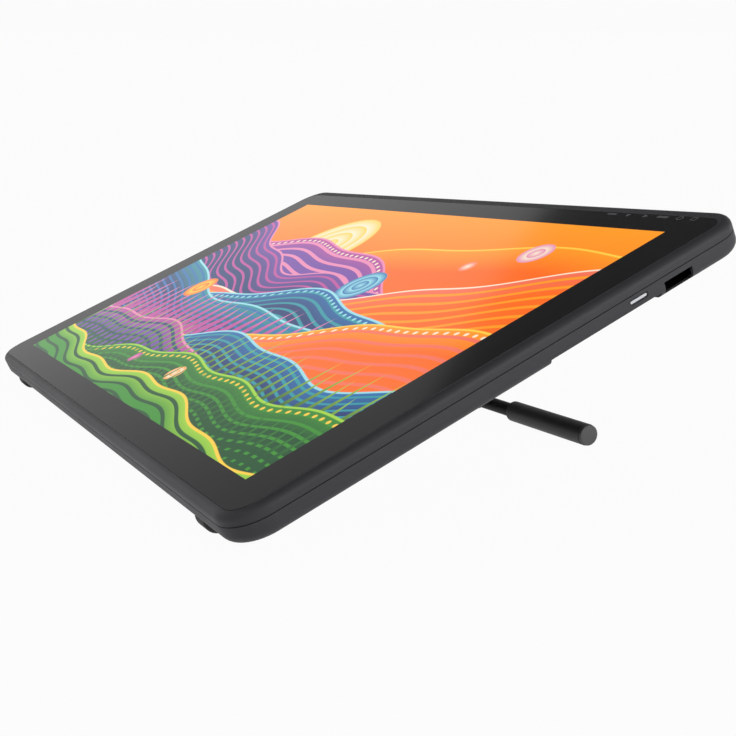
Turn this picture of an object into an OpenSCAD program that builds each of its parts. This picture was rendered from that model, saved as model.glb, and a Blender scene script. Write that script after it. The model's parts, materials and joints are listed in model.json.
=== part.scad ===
// Graphics tablet with its own screen, on a folding stand.
// The tablet is drawn flat: the glass face is at height 0, the body is centred on the origin
// and +Y runs up the screen. It is then tilted to its working angle, with the two front feet and
// the stand's foot bar on the desk. Lengths are in millimetres and angles in degrees.

/* [Picture and outline] */
// Width of the lit picture
picture_w = 476; // [440:1:500]
// Height of the lit picture
picture_h = 268; // [248:1:290]
// From the picture's side edges to the outside of the body
side_border = 33; // [30:0.5:48]
// From the picture's top edge to the outside of the body
top_border = 28.5; // [26:0.5:40]
// From the picture's bottom edge to the outside of the body
bottom_border = 24; // [23:0.5:40]
// Plan radius of the body's corners
corner_r = 21; // [14:0.5:26]
// Tilt of the screen above the desk
tilt = 24; // [20:1:80]

/* [Front frame] */
// From the body's side to the edge of the glass
side_rim = 5; // [4.8:0.1:8]
// From the body's nearer end to the edge of the glass
end_rim = 5; // [4.8:0.1:8]
// Radius of the frame's rounded shoulder
shoulder_r = 4.5; // [2:0.1:4.6]
// Depth of the frame's side band, down to the seam
frame_d = 7; // [5.5:0.1:7.3]
// Thickness of the ledge that carries the glass
ledge_t = 1.6; // [1:0.1:2.2]
// Thickness of the lip inside the rear cover
lip_t = 1.4; // [1:0.1:2]
// How far the lip reaches below the seam
lip_h = 1.8; // [1:0.1:2]
// Height of the groove at the seam
seam_h = 0.5; // [0.3:0.1:0.8]
// Depth of the groove at the seam
seam_d = 0.8; // [0.4:0.1:1.2]

/* [Glass and panel] */
// Thickness of the cover glass
glass_t = 1.2; // [0.8:0.1:2]
// Corner radius of the cover glass
glass_r = 12; // [6:0.5:16]
// Thickness of the bonding layer and of the glass gasket
bond_t = 0.3; // [0.2:0.1:0.5]
// Width of the gasket round the glass
gasket_w = 7; // [6.5:0.5:9]
// Panel border round the lit picture
panel_border = 7; // [4:0.5:9]
// Thickness of the liquid crystal panel
lcd_t = 1.4; // [1:0.1:2]
// Thickness of the diffuser and prism films together
film_t = 0.6; // [0.4:0.1:1]
// Thickness of the light guide
guide_t = 2; // [1.5:0.1:3]
// Sheet thickness of the backlight tray
tray_t = 0.6; // [0.4:0.1:1]
// Width of the light strip along the guide's bottom edge
led_strip_w = 3; // [2:0.5:5]
// Distance between two lamps on the light strip
led_pitch = 14; // [10:1:24]
// Thickness of the pen sensor board
sensor_t = 1; // [0.8:0.1:1.6]
// Thickness of the shield plate
shield_t = 0.5; // [0.4:0.1:1]
// Length of the touch key strip
key_strip_l = 88; // [70:1:110]
// Width of the touch key strip
key_strip_w = 4; // [3:0.5:4]
// From the top edge of the glass to the middle of the touch key strip
key_strip_drop = 3.5; // [3.2:0.1:4]
// From the side of the body to the end of the touch key strip
key_strip_inset = 22; // [20:1:40]

/* [Rear cover] */
// Wall thickness
wall = 2.2; // [1.8:0.1:3]
// Room for boards between the shield plate and the cover's floor
board_room = 8.4; // [8.2:0.1:12]
// Radius of the rear edge
edge_r = 6; // [4:0.5:8]
// Depth of the finger relief under each side
relief_d = 3.4; // [1:0.1:3.6]
// Reach of the finger relief in from the side
relief_w = 34; // [25:1:60]
// From the port bay down to the finger relief
relief_gap = 2.2; // [2:0.1:10]
// Length of the finger relief
relief_l = 74; // [50:0.5:76]
// Plan radius of the relief's inner corners
relief_r = 8; // [4:0.5:15]
// Number of cooling slots
vent_count = 26; // [10:2:40]
// Distance between two cooling slots
vent_pitch = 8; // [6:0.5:12]
// Width of a cooling slot
vent_w = 2.6; // [1.5:0.1:4]
// Length of a cooling slot
vent_l = 14; // [8:1:20]
// From the top of the body to the middle of the cooling slots
vent_drop = 33; // [28:1:40]

/* [Ports and button] */
// From the top of the body to the middle of the port bay
bay_from_top = 50.5; // [48:0.5:56]
// Width of the port bay
bay_w = 26; // [24:0.5:28]
// Reach of the port bay in from the side
bay_reach = 35; // [28:1:45]
// Width of the cable mouth in the side wall
mouth_w = 19.5; // [14:0.5:22]
// From the port bay's lower wall to the cable mouth
mouth_inset = 0.5; // [0.3:0.1:1.5]
// From the seam down to the top of the cable mouth
mouth_drop = 3.4; // [2.8:0.1:4]
// Wall of the port bay
bay_wall = 1.6; // [1.2:0.1:2]
// Thickness of the lid that closes the port bay
lid_t = 1.5; // [1.2:0.1:1.6]
// From the body's side to the end of the lid
lid_inset = 4; // [3:0.1:6]
// Distance between the two ports
port_pitch = 13; // [11:0.5:14]
// Outer width of a port's metal shell
port_w = 8.94; // [8.5:0.01:9.2]
// Outer height of a port's metal shell
port_h = 3.26; // [3:0.01:3.5]
// Length of a port's metal shell
port_l = 9; // [7:0.5:12]
// Sheet thickness of a port's metal shell
port_sheet = 0.3; // [0.2:0.05:0.4]
// From the upper end of the finger relief to the middle of the power button
button_inset = 15; // [11.5:0.5:40]
// Length of the power button
button_l = 11; // [8:0.5:14]
// Height of the power button
button_h = 1.4; // [1.2:0.1:2]
// From the seam down to the middle of the power button
button_drop = 3.6; // [3.6:0.1:3.8]
// Travel of the power button
button_travel = 0.5; // [0.3:0.1:0.8]
// Rim of the recess round the power button
button_rim = 1; // [0.5:0.1:1.5]
// Depth of the recess round the power button
button_recess = 0.5; // [0.3:0.1:0.9]

/* [Boards and fasteners] */
// Length of the main board
board_l = 100; // [70:1:120]
// Width of the main board
board_w = 50; // [46:1:52]
// Thickness of the boards
board_t = 1.4; // [1:0.1:1.8]
// Height of the standoffs under the main board
standoff_h = 1.5; // [1.2:0.1:1.8]
// Width of the ribbon to the panel
ribbon_w = 30; // [20:1:40]
// Thickness of the ribbon
ribbon_t = 0.2; // [0.1:0.05:0.3]
// Radius of a case screw's shank
case_screw_r = 1.2; // [1:0.05:1.5]
// Radius of a case screw's head
case_head_r = 2.8; // [2.2:0.1:3.2]
// Height of a case screw's head
case_head_t = 1.1; // [0.8:0.1:1.3]
// Radius of the bosses that take the case screws
boss_r = 3.5; // [3:0.1:4]
// Hole spacing of the free mounting square
mount_pitch = 100; // [100:1:110]
// Hole spacing of the stand's own screws
stand_pitch = 75; // [70:1:80]
// Core radius of the mounting threads
mount_thread_r = 1.65; // [1.5:0.05:1.8]
// Length of the mounting threads
mount_thread_l = 5; // [4:0.1:6]
// Side of the inner mounting bracket
bracket_size = 122; // [118:1:140]
// Sheet thickness of the inner mounting bracket
bracket_t = 2; // [1.5:0.1:3]

/* [Feet] */
// Radius of the front feet
foot_r = 8; // [6:0.1:9]
// Length of a front foot
foot_l = 15; // [12:1:40]
// How far the middle of a foot lies above the body's back
foot_sink = 1.3; // [0.8:0.1:3]
// From the body's side to the middle of a foot
foot_inset = 56; // [40:1:90]
// Radius of the plug that holds a foot
foot_plug_r = 3; // [2:0.1:4]

/* [Stand] */
// Plate thickness of the stand's base
base_t = 3; // [2:0.1:4]
// From a stand screw to the edge of the base
base_edge = 6; // [5:0.5:6.5]
// Height of the hinge axis, measured up from the body's centre
hinge_v = -45; // [-60:1:-30]
// From the body's back to the hinge axis
hinge_drop = 16; // [14:0.5:24]
// Radius of the hinge shaft
shaft_r = 5; // [3.5:0.1:6]
// Outer radius of the hinge knuckles
knuckle_r = 9; // [8.5:0.1:11]
// Thickness of the base's ears
ear_t = 4; // [3:0.1:6]
// Thickness of the friction washers
washer_t = 0.8; // [0.5:0.1:1.5]
// Length of the leg, from the hinge axis to the foot bar
leg_l = 167.5; // [150:0.5:190]
// Width of the leg at the hinge
leg_w = 54; // [48:0.5:56]
// Width of the leg at the foot bar
leg_foot_w = 46; // [40:1:54]
// Sheet thickness of the leg
leg_t = 2.5; // [2:0.1:3.5]
// Depth of the leg's channel inside its sheet
channel_d = 7; // [6:0.1:9]
// Width of the clutch gap between the knuckles
clutch_gap = 24; // [20:1:30]
// Wire radius of the clutch spring
clutch_wire_r = 0.9; // [0.7:0.05:1]
// Number of turns of the clutch spring
clutch_turns = 8; // [4:1:8]
// Distance between two turns of the clutch spring
clutch_pitch = 2.5; // [2.4:0.05:2.6]

/* [Foot bar] */
// Half the length of the foot bar
bar_half = 154; // [110:1:190]
// Radius of the foot bar's rod
rod_r = 4.7; // [3.5:0.1:5]
// Outer radius of the foot bar's sleeves
sleeve_r = 7; // [6.8:0.1:10]
// Length of a sleeve
sleeve_l = 83; // [40:0.5:100]
// Chamfer of a sleeve's inner end
sleeve_chamfer = 1.2; // [0.5:0.1:2]
// Thickness of an end cap
cap_t = 2.5; // [1.5:0.1:4]
// Outer radius of the leg's socket for the rod
socket_r = 6.4; // [6:0.1:6.7]

/* [Release lever] */
// From the hinge axis to the lever's pivot
lever_pivot = 62; // [56:1:72]
// Radius of the lever's pin
lever_pin_r = 2; // [1.5:0.1:2.5]
// Width of the lever
lever_w = 16; // [12:1:18]
// Thickness of the lever
lever_t = 3; // [2:0.1:3.5]
// Width of the lever's thumb pad
pad_w = 24; // [18:1:30]
// Length of the lever's thumb pad
pad_l = 34; // [24:1:40]
// From the hinge axis to the middle of the thumb pad
pad_u = 117; // [110:1:125]
// How far the thumb pad stands out of the leg
pad_proud = 2.5; // [1.5:0.1:3.5]
// Wire radius of the lever's return spring
return_wire_r = 0.45; // [0.3:0.05:0.5]
// Number of turns of the lever's return spring
return_turns = 4; // [3:1:5]
// Distance between two turns of the lever's return spring
return_pitch = 1.6; // [1.5:0.05:1.8]

/* [Clearances] */
// Gap round the cover glass
glass_gap = 0.15; // [0.1:0.05:0.3]
// Gap between fixed pieces that drop into each other
part_gap = 0.3; // [0.1:0.05:0.5]
// Gap round sliding pieces
slide_gap = 0.2; // [0.1:0.05:0.3]
// Radial gap round shafts and pins
run_gap = 0.05; // [0.02:0.01:0.1]

/* [Hidden] */
$fn = 64;
// Cutting tools reach this far past the surface that they cut
over = 1;

body_w = picture_w + 2 * side_border;
body_h = picture_h + top_border + bottom_border;
// Height of the picture's centre above the body's
picture_v = (bottom_border - top_border) / 2;
// The glass is centred on the picture
glass_w = body_w - 2 * side_rim;
glass_h = picture_h + 2 * (min(top_border, bottom_border) - end_rim);
panel_w = picture_w + 2 * panel_border;
panel_h = picture_h + 2 * panel_border;
window_w = panel_w + 2 * part_gap;
window_h = panel_h + 2 * part_gap;

// Heights of the layers, counted down from the glass face
z_glass = -glass_t;
z_bond = z_glass - bond_t;
z_lcd = z_bond - lcd_t;
z_film = z_lcd - film_t;
z_guide = z_film - guide_t;
z_tray = z_guide - tray_t;
z_sensor = z_tray - sensor_t;
z_shield = z_sensor - shield_t;
z_floor = z_shield - board_room;
z_back = z_floor - wall;
z_seam = -frame_d;
z_ledge = z_bond - ledge_t;
z_lip = z_seam - lip_h;

lip_inset = wall + slide_gap;
hollow_inset = lip_inset + lip_t;

// Case screws stand between the panel window and the lip
screw_x = (window_w / 2 + body_w / 2 - hollow_inset) / 2;
screw_top = (picture_v + window_h / 2 + body_h / 2 - hollow_inset) / 2;
screw_low = (picture_v - window_h / 2 - body_h / 2 + hollow_inset) / 2;
screw_mid_x = picture_w / 4;
screw_corner_drop = 21;
CASE_SCREWS = [
    for (sx = [-1, 1], sy = [-1, 0, 1]) [sx * screw_x, sy * (body_h / 2 - screw_corner_drop)],
    for (sx = [-1, 1], v = [screw_low, screw_top]) [sx * screw_mid_x, v]
];
case_screw_l = 7;
screw_tip_gap = 1;

// Port bay in the cover's right side, with a ledge for its lid
side_x = body_w / 2;
bay_x = side_x - bay_reach;
bay_v = body_h / 2 - bay_from_top;
mouth_low = bay_v - bay_w / 2 + mouth_inset;
z_mouth = z_seam - mouth_drop;
lid_rim = 1.2;
lid_grip_r = 0.5;
lid_grip_l = 14;
lid_grip_pitch = 2.5;
lid_grip_count = 4;
z_bay_roof = z_shield - part_gap - bay_wall;
z_board = z_shield - standoff_h;
z_board_back = z_board - board_t;
z_port = z_board_back - port_h / 2;
port_mouth_gap = 0.3;
port_back = 2.5;
port_set_back = 0.5;
tongue_w = 6.7;
tongue_t = 0.7;
tongue_set_back = 0.8;
board_x = bay_x - bay_wall - part_gap - board_l / 2;
board_v = bay_v;
board_hole_inset = 5;
standoff_r = 2.6;
board_screw_r = 1.2;
board_head_r = 2.4;
board_head_t = 1.2;
BOARD_SCREWS = [
    for (sx = [-1, 1], sy = [-1, 1])
        [board_x + sx * (board_l / 2 - board_hole_inset - (sx + 1) * port_l / 2),
         board_v + sy * (board_w / 2 - board_hole_inset)]
];
// Chips under the main board: place of the middle and size
chip_t = 1.6;
CHIPS = [[[-14, 0], [16, 16]], [[10, -10], [10, 8]], [[10, 8], [8, 8]]];
// Connector for the panel ribbon
connector_w = 4;
connector_rim = 2;
connector_inset = 6;
connector_v = board_v + board_w / 2 - connector_inset;

// Posts on the cover's floor carry the shield plate, clear of the bracket and the main board
post_r = 4;
post_room = 28;
post_mid_x = bracket_size / 2 + post_room;
post_side_v = board_v - board_w / 2 - post_room;
POSTS = [
    for (sx = [-1, 1], sy = [-1, 1])
        each [[sx * board_x, sy * post_side_v], [sx * post_mid_x, sy * board_v]]
];

// Inner sheets and the light strip
gasket_inset = 0.5;
gasket_inner_r = 2;
tray_room = tray_t + part_gap;
led_board_t = 1;
lamp_l = 4;
lamp_h = 1.2;
sensor_margin = 2;
sensor_hole_inset = 8;
sensor_hole_r = 2;
shield_margin = 3;
ribbon_top_drop = 0.5;

// Finger reliefs, and the power button above the right one
relief_high = bay_v - bay_w / 2 - relief_gap;
relief_low = relief_high - relief_l;
z_relief_floor = z_back + relief_d + wall;
button_v = relief_high - button_inset;
z_button = z_seam - button_drop;
button_flange_t = 1.2;
button_flange_rim = 0.4;
button_flange_end = 1.5;
button_flange_l = button_l + 2 * button_flange_end;
button_proud = 0.1;
flange_x = side_x - wall - slide_gap;
switch_tip_x = flange_x - button_flange_t - button_travel - slide_gap;
switch_tip_l = 1.2;
switch_d = 3.5;
switch_h = 3;
switch_l = 6;
button_board_l = 22;

// Free mounting square and stand screws
function square_holes(pitch) = [for (sx = [-1, 1], sy = [-1, 1]) [sx * pitch / 2, sy * pitch / 2]];
mount_hole_gap = 0.6;
mount_boss_r = 4;
stand_screw_gap = 0.05;
stand_head_r = 3.6;
stand_head_t = 2.4;
stand_key_r = 1.6;
stand_key_d = 1.4;

// Front feet: round rubber blocks wrapped over the bottom edge
foot_v = -(body_h / 2 - foot_r);
z_foot = z_back + foot_sink;
foot_x = side_x - foot_inset;
foot_round = 2;
foot_plug_grip = 1.5;
foot_plug_l = wall + foot_plug_grip;

// Stand
z_base = z_back - base_t;
z_hinge = z_back - hinge_drop;
base_w = stand_pitch + 2 * base_edge;
base_lower_lip = 17;
base_upper_lip = 9.5;
base_low = hinge_v - base_lower_lip;
base_high = stand_pitch / 2 + base_upper_lip;
base_r = 6;
base_window_w = 40;
base_window_h = 46;
base_window_v = 6;
ear_rim = 0.5;
ear_r = knuckle_r + ear_rim;
ear_x = leg_w / 2 + washer_t + 2 * slide_gap;
shaft_head_t = 2;
shaft_head_rim = 2;
shaft_head_r = shaft_r + shaft_head_rim;
shaft_half = ear_x + ear_t + slide_gap;
shaft_tail = 2.4;
clip_t = 0.9;
clip_groove_d = 0.8;
clip_rim = 2.4;
clip_r = shaft_r + clip_rim;
clip_mouth_w = 6;
washer_inset = 0.5;
washer_r = knuckle_r - washer_inset;

// The leg is drawn along +Y from the hinge axis, with its open channel towards +Z
channel_top = 4;
z_web = channel_top - channel_d;
z_leg_back = z_web - leg_t;
notch_w = 20;
notch_end = 42;
window_gap = 1;
coil_gap = 0.7;
clutch_coil_r = shaft_r + clutch_wire_r + coil_gap;
nose_gap = 1;
nose_u = clutch_coil_r + clutch_wire_r + nose_gap;
function leg_half(u) = leg_w / 2 + (leg_foot_w - leg_w) / 2 * u / leg_l;

// Release lever, in the leg's channel
return_coil_gap = 0.35;
return_coil_r = lever_pin_r + return_wire_r + return_coil_gap;
return_gap = 1.2;
return_x = lever_w / 2 + return_gap;
lever_lift = return_coil_r + return_wire_r + part_gap - lever_t / 2;
z_lever = z_web + lever_lift;
z_lever_pivot = z_lever + lever_t / 2;
lever_hub_r = z_lever_pivot - z_web - part_gap;
lever_corner_r = 3;
lever_end = pad_u + pad_l / 2 + lever_corner_r;
pad_r = 5;
ridge_r = 0.7;
ridge_pitch = 5;
ridge_count = floor((pad_l / 2 - pad_r) / ridge_pitch);
lever_pin_half = leg_half(lever_pivot) - slide_gap;

// Foot bar
rod_half = bar_half - cap_t;
cap_inset = 0.3;
cap_r = sleeve_r - cap_inset;
cap_plug_r = 2;
cap_plug_l = 5;

// Placing on the desk: both feet and the foot bar touch height 0
lift_z = foot_r - foot_v * sin(tilt) - z_foot * cos(tilt);
hinge_height = lift_z + hinge_v * sin(tilt) + z_hinge * cos(tilt);
leg_open = tilt + asin((hinge_height - sleeve_r) / leg_l);
// The box of the whole part is centred on the origin from front to back
front_reach = -(body_h / 2 - shoulder_r) * cos(tilt) + shoulder_r * (sin(tilt) - 1);
top_reach = (body_h / 2 - edge_r) * cos(tilt) - (z_back + edge_r) * sin(tilt) + edge_r;
bar_reach = hinge_v * cos(tilt) - z_hinge * sin(tilt) + leg_l * cos(leg_open - tilt) + sleeve_r;
shift_y = -(front_reach + max(top_reach, bar_reach)) / 2;

// Poses of the two sub-assemblies, and the picture's place on the tablet
module on_tablet() translate([0, shift_y, lift_z]) rotate([tilt, 0, 0]) children();
module at_picture() translate([0, picture_v, 0]) children();
module on_leg() on_tablet() translate([0, hinge_v, z_hinge]) rotate([-leg_open, 0, 0]) children();

// Shared shapes
module rounded_rect(w, h, r) {
    square([w - 2 * r, h], center = true);
    square([w, h - 2 * r], center = true);
    for (sx = [-1, 1], sy = [-1, 1])
        translate([sx * (w / 2 - r), sy * (h / 2 - r)]) circle(r);
}

module slab(w, h, r, top, bottom) {
    translate([0, 0, bottom]) linear_extrude(top - bottom) rounded_rect(w, h, r);
}

module plate(w, h, top, bottom) {
    translate([-w / 2, -h / 2, bottom]) cube([w, h, top - bottom]);
}

// A pill-shaped outline, long along Y
module pill(length, width) {
    square([width, length - width], center = true);
    for (s = [-1, 1]) translate([0, s * (length - width) / 2]) circle(width / 2);
}

// Extrudes a pill along X from x0
module side_pill(length, width, x0, depth) {
    translate([x0, 0, 0]) rotate([0, 90, 0]) linear_extrude(depth) pill(length, width);
}

// Extrudes an outline given in Y and Z along X from x0
module along_x(x0, length) {
    translate([x0, 0, 0]) rotate([90, 0, 90]) linear_extrude(length) children();
}

module rod_x(r, x0, x1) {
    translate([x0, 0, 0]) rotate([0, 90, 0]) cylinder(h = x1 - x0, r = r);
}

module post(r, top, bottom) {
    translate([0, 0, bottom]) cylinder(h = top - bottom, r = r);
}

// Sweeps a profile round a rounded rectangle. The profile's X runs outwards and ends at reach.
module rim_sweep(w, h, r, reach) {
    for (turn = [0 : 3]) {
        far = (turn % 2 == 0 ? w : h) / 2 - r;
        side = (turn % 2 == 0 ? h : w) / 2 - r;
        rotate([0, 0, 90 * turn]) translate([far, side, 0]) {
            rotate([90, 0, 0]) linear_extrude(2 * side) translate([r - reach, 0]) children();
            rotate_extrude(angle = 90) translate([r - reach, 0]) children();
        }
    }
}

// A slab that stands on height 0, with its upper edge rounded by e
module soft_slab(w, h, r, e, height) {
    rim_sweep(w, h, r, e) intersection() {
        translate([-over, 0]) square([e + over, height]);
        union() {
            translate([0, height - e]) circle(e);
            translate([-over, 0]) square([over, height]);
            translate([-over, 0]) square([e + over, height - e]);
        }
    }
    slab(w - 2 * e, h - 2 * e, r - e, height, 0);
}

// A closed wire coil along X, starting at x = 0, with rings of 6 sides
module wire_coil(coil_r, wire_r, pitch, turns) {
    rings_per_turn = 12;
    sides = 6;
    last = turns * rings_per_turn;
    rise = pitch / (2 * PI * coil_r);
    slant = sqrt(1 + rise * rise);
    function centre(i) = let (a = 360 * i / rings_per_turn)
        [pitch * i / rings_per_turn, coil_r * cos(a), coil_r * sin(a)];
    function ring(i) = let (a = 360 * i / rings_per_turn) [
        for (j = [0 : sides - 1]) let (b = 360 * j / sides)
            centre(i) + wire_r * cos(b) * [0, cos(a), sin(a)]
            + wire_r * sin(b) / slant * [1, rise * sin(a), -rise * cos(a)]
    ];
    least_gap = min([
        for (i = [0 : last - rings_per_turn], j = [i + rings_per_turn / 2 : last])
            norm(centre(i) - centre(j)) - 2 * wire_r
    ]);
    echo("least gap between turns", least_gap);
    polyhedron(
        points = [for (i = [0 : last]) each ring(i)],
        faces = [
            for (i = [0 : last - 1], j = [0 : sides - 1]) let (k = (j + 1) % sides)
                each [[i * sides + j, (i + 1) * sides + j, i * sides + k],
                      [i * sides + k, (i + 1) * sides + j, (i + 1) * sides + k]],
            for (j = [1 : sides - 2])
                each [[0, j, j + 1], [last * sides, last * sides + j + 1, last * sides + j]]
        ]
    );
}

// Outside of the closed tablet below a given height, grown all round by a gap
module body_form(grow, top) {
    translate([0, 0, top]) mirror([0, 0, 1])
        soft_slab(body_w + 2 * grow, body_h + 2 * grow, corner_r + grow, edge_r + grow,
                  top - z_back + grow);
}

// Glass and front frame
module cover_glass() color("#151618") on_tablet() at_picture() slab(glass_w, glass_h, glass_r, 0, z_glass);

module key_strip_form(grow, top, bottom) {
    translate([side_x - key_strip_inset - key_strip_l / 2, glass_h / 2 - key_strip_drop, 0])
        plate(key_strip_l + 2 * grow, key_strip_w + 2 * grow, top, bottom);
}

module glass_gasket() color("#101010") on_tablet() at_picture() difference() {
    slab(glass_w - 2 * gasket_inset, glass_h - 2 * gasket_inset, glass_r - gasket_inset, z_glass, z_bond);
    slab(glass_w - 2 * gasket_w, glass_h - 2 * gasket_w, gasket_inner_r, z_glass + over, z_bond - over);
    key_strip_form(part_gap, z_glass + over, z_bond - over);
}

module touch_key_strip() color("#7a4a14") on_tablet() at_picture() key_strip_form(0, z_glass, z_bond);

module front_frame() color("#3b3d41") on_tablet() {
    difference() {
        union() {
            translate([0, 0, z_seam]) soft_slab(body_w, body_h, corner_r, shoulder_r, frame_d);
            slab(body_w - 2 * lip_inset, body_h - 2 * lip_inset, corner_r - lip_inset, z_seam + over, z_lip);
        }
        at_picture() {
            slab(glass_w + 2 * glass_gap, glass_h + 2 * glass_gap, glass_r + glass_gap, over, z_bond);
            plate(window_w, window_h, over, z_lip - over);
        }
        slab(body_w - 2 * hollow_inset, body_h - 2 * hollow_inset, corner_r - hollow_inset,
             z_ledge, z_lip - over);
        bay_form(bay_wall + part_gap, z_seam, z_lip - over);
    }
    for (p = CASE_SCREWS) translate(p) difference() {
        post(boss_r, z_ledge + ledge_t / 2, z_floor);
        post(case_screw_r + run_gap, z_floor + case_screw_l, z_floor - over);
    }
}

// Panel stack
module bonding_layer() color("#d8e4ea") on_tablet() at_picture() plate(panel_w, panel_h, z_glass, z_bond);

module lcd_panel() color("#e8862c") on_tablet() at_picture() plate(panel_w, panel_h, z_bond, z_lcd);

module diffuser_films() color("#f2f2ee") on_tablet() at_picture()
    plate(panel_w - 2 * tray_room, panel_h - 2 * tray_room, z_lcd, z_film);

module light_guide() color("#dff0f0") on_tablet() at_picture() {
    guide_h = panel_h - 2 * tray_room - led_strip_w - part_gap;
    translate([0, (led_strip_w + part_gap) / 2, 0])
        plate(panel_w - 2 * tray_room, guide_h, z_film, z_guide);
}

module led_strip() color("#f6f0c8") on_tablet() at_picture() {
    low = -panel_h / 2 + tray_room;
    strip_l = panel_w - 2 * tray_room;
    count = floor((strip_l / 2 - led_pitch) / led_pitch);
    translate([-strip_l / 2, low, z_guide]) cube([strip_l, led_board_t, guide_t]);
    for (i = [-count : count])
        translate([i * led_pitch - lamp_l / 2, low + led_board_t, z_guide + (guide_t - lamp_h) / 2])
            cube([lamp_l, led_strip_w - led_board_t, lamp_h]);
}

module backlight_tray() color("#a9adb0") on_tablet() at_picture() difference() {
    plate(panel_w, panel_h, z_lcd, z_tray);
    plate(panel_w - 2 * tray_t, panel_h - 2 * tray_t, z_lcd + over, z_guide);
}

module sensor_board() color("#1d5a34") on_tablet() at_picture() difference() {
    plate(panel_w - 2 * sensor_margin, panel_h - 2 * sensor_margin, z_tray, z_sensor);
    for (sx = [-1, 1], sy = [-1, 1])
        translate([sx * (panel_w / 2 - sensor_hole_inset), sy * (panel_h / 2 - sensor_hole_inset), 0])
            post(sensor_hole_r, z_tray + over, z_sensor - over);
}

module shield_plate() color("#b9bcc0") on_tablet() {
    at_picture() plate(panel_w - 2 * shield_margin, panel_h - 2 * shield_margin, z_sensor, z_shield);
    for (p = BOARD_SCREWS) translate(p) difference() {
        post(standoff_r, z_shield + shield_t / 2, z_board);
        post(board_screw_r + run_gap, z_shield, z_board - over);
    }
}

module panel_ribbon() color("#c98a34") on_tablet() {
    end = connector_v - connector_w / 2;
    panel_top = picture_v + panel_h / 2;
    translate([board_x - ribbon_w / 2, 0, z_shield - ribbon_t]) {
        translate([0, panel_top, 0])
            cube([ribbon_w, ribbon_t, z_bond - ribbon_top_drop - z_shield + ribbon_t]);
        translate([0, end, 0]) cube([ribbon_w, panel_top - end + ribbon_t, ribbon_t]);
    }
}

// Boards
module main_board() color("#15663a") on_tablet() {
    difference() {
        translate([board_x, board_v, 0]) plate(board_l, board_w, z_board, z_board_back);
        for (p = BOARD_SCREWS) translate(p)
            post(board_screw_r + slide_gap, z_board + over, z_board_back - over);
    }
    for (chip = CHIPS) translate([board_x, board_v, 0] + [each chip[0], 0])
        plate(chip[1].x, chip[1].y, z_board_back, z_board_back - chip_t);
    translate([board_x, connector_v, 0])
        plate(ribbon_w + 2 * connector_rim, connector_w, z_shield - ribbon_t, z_board);
}

module board_screws() color("#8e9194") on_tablet() for (p = BOARD_SCREWS) translate(p) {
    post(board_screw_r, z_shield - standoff_h / 3, z_board_back);
    post(board_head_r, z_board_back, z_board_back - board_head_t);
}

module port_places() for (s = [-1, 1]) translate([0, bay_v + s * port_pitch / 2, z_port]) children();

module usb_ports() color("#c3c6c9") on_tablet() port_places() {
    front_x = bay_x - port_set_back;
    difference() {
        side_pill(port_w, port_h, front_x - port_l, port_l);
        side_pill(port_w - 2 * port_sheet, port_h - 2 * port_sheet,
                  front_x - port_l + port_back, port_l);
    }
    translate([front_x - port_l + port_back - over, -tongue_w / 2, -tongue_t / 2])
        cube([port_l - port_back + over - tongue_set_back, tongue_w, tongue_t]);
}

// Power button
module button_place() translate([0, button_v, z_button]) children();

module button_board() color("#15663a") on_tablet() button_place() {
    back = switch_tip_x - switch_tip_l - switch_d - board_t;
    translate([back, -button_board_l / 2, z_relief_floor - z_button])
        cube([board_t, button_board_l, switch_h / 2 - z_relief_floor + z_button]);
}

module button_switch() color("#222222") on_tablet() button_place() {
    translate([switch_tip_x - switch_tip_l - switch_d, -switch_l / 2, -switch_h / 2])
        cube([switch_d, switch_l, switch_h]);
    rod_x(switch_h / 3, switch_tip_x - switch_tip_l - over / 2, switch_tip_x);
}

module power_button() color("#c9ccd0") on_tablet() button_place() {
    side_pill(button_l, button_h, flange_x - over / 2, side_x - button_proud - flange_x + over / 2);
    side_pill(button_flange_l, button_h + 2 * button_flange_rim,
              flange_x - button_flange_t, button_flange_t);
}

// Rear cover
module relief_form(grow, top, bottom) for (sx = [-1, 1]) {
    reach = relief_w + relief_r + grow;
    translate([sx * (side_x + relief_r - reach / 2), (relief_low + relief_high) / 2, 0])
        slab(reach, relief_high - relief_low + 2 * grow, relief_r, top, bottom);
}

module bay_form(grow, top, bottom) {
    translate([bay_x - grow, bay_v - bay_w / 2 - grow, bottom])
        cube([bay_reach - wall + grow, bay_w + 2 * grow, top - bottom]);
}

// The lid's seat in the cover's back, drawn in by a gap or by its ledge
module lid_form(shrink, top, bottom) {
    l = bay_reach - lid_inset + lid_rim - 2 * shrink;
    w = bay_w + 2 * lid_rim - 2 * shrink;
    translate([bay_x - lid_rim + shrink, bay_v - w / 2, bottom]) cube([l, w, top - bottom]);
}

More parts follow.
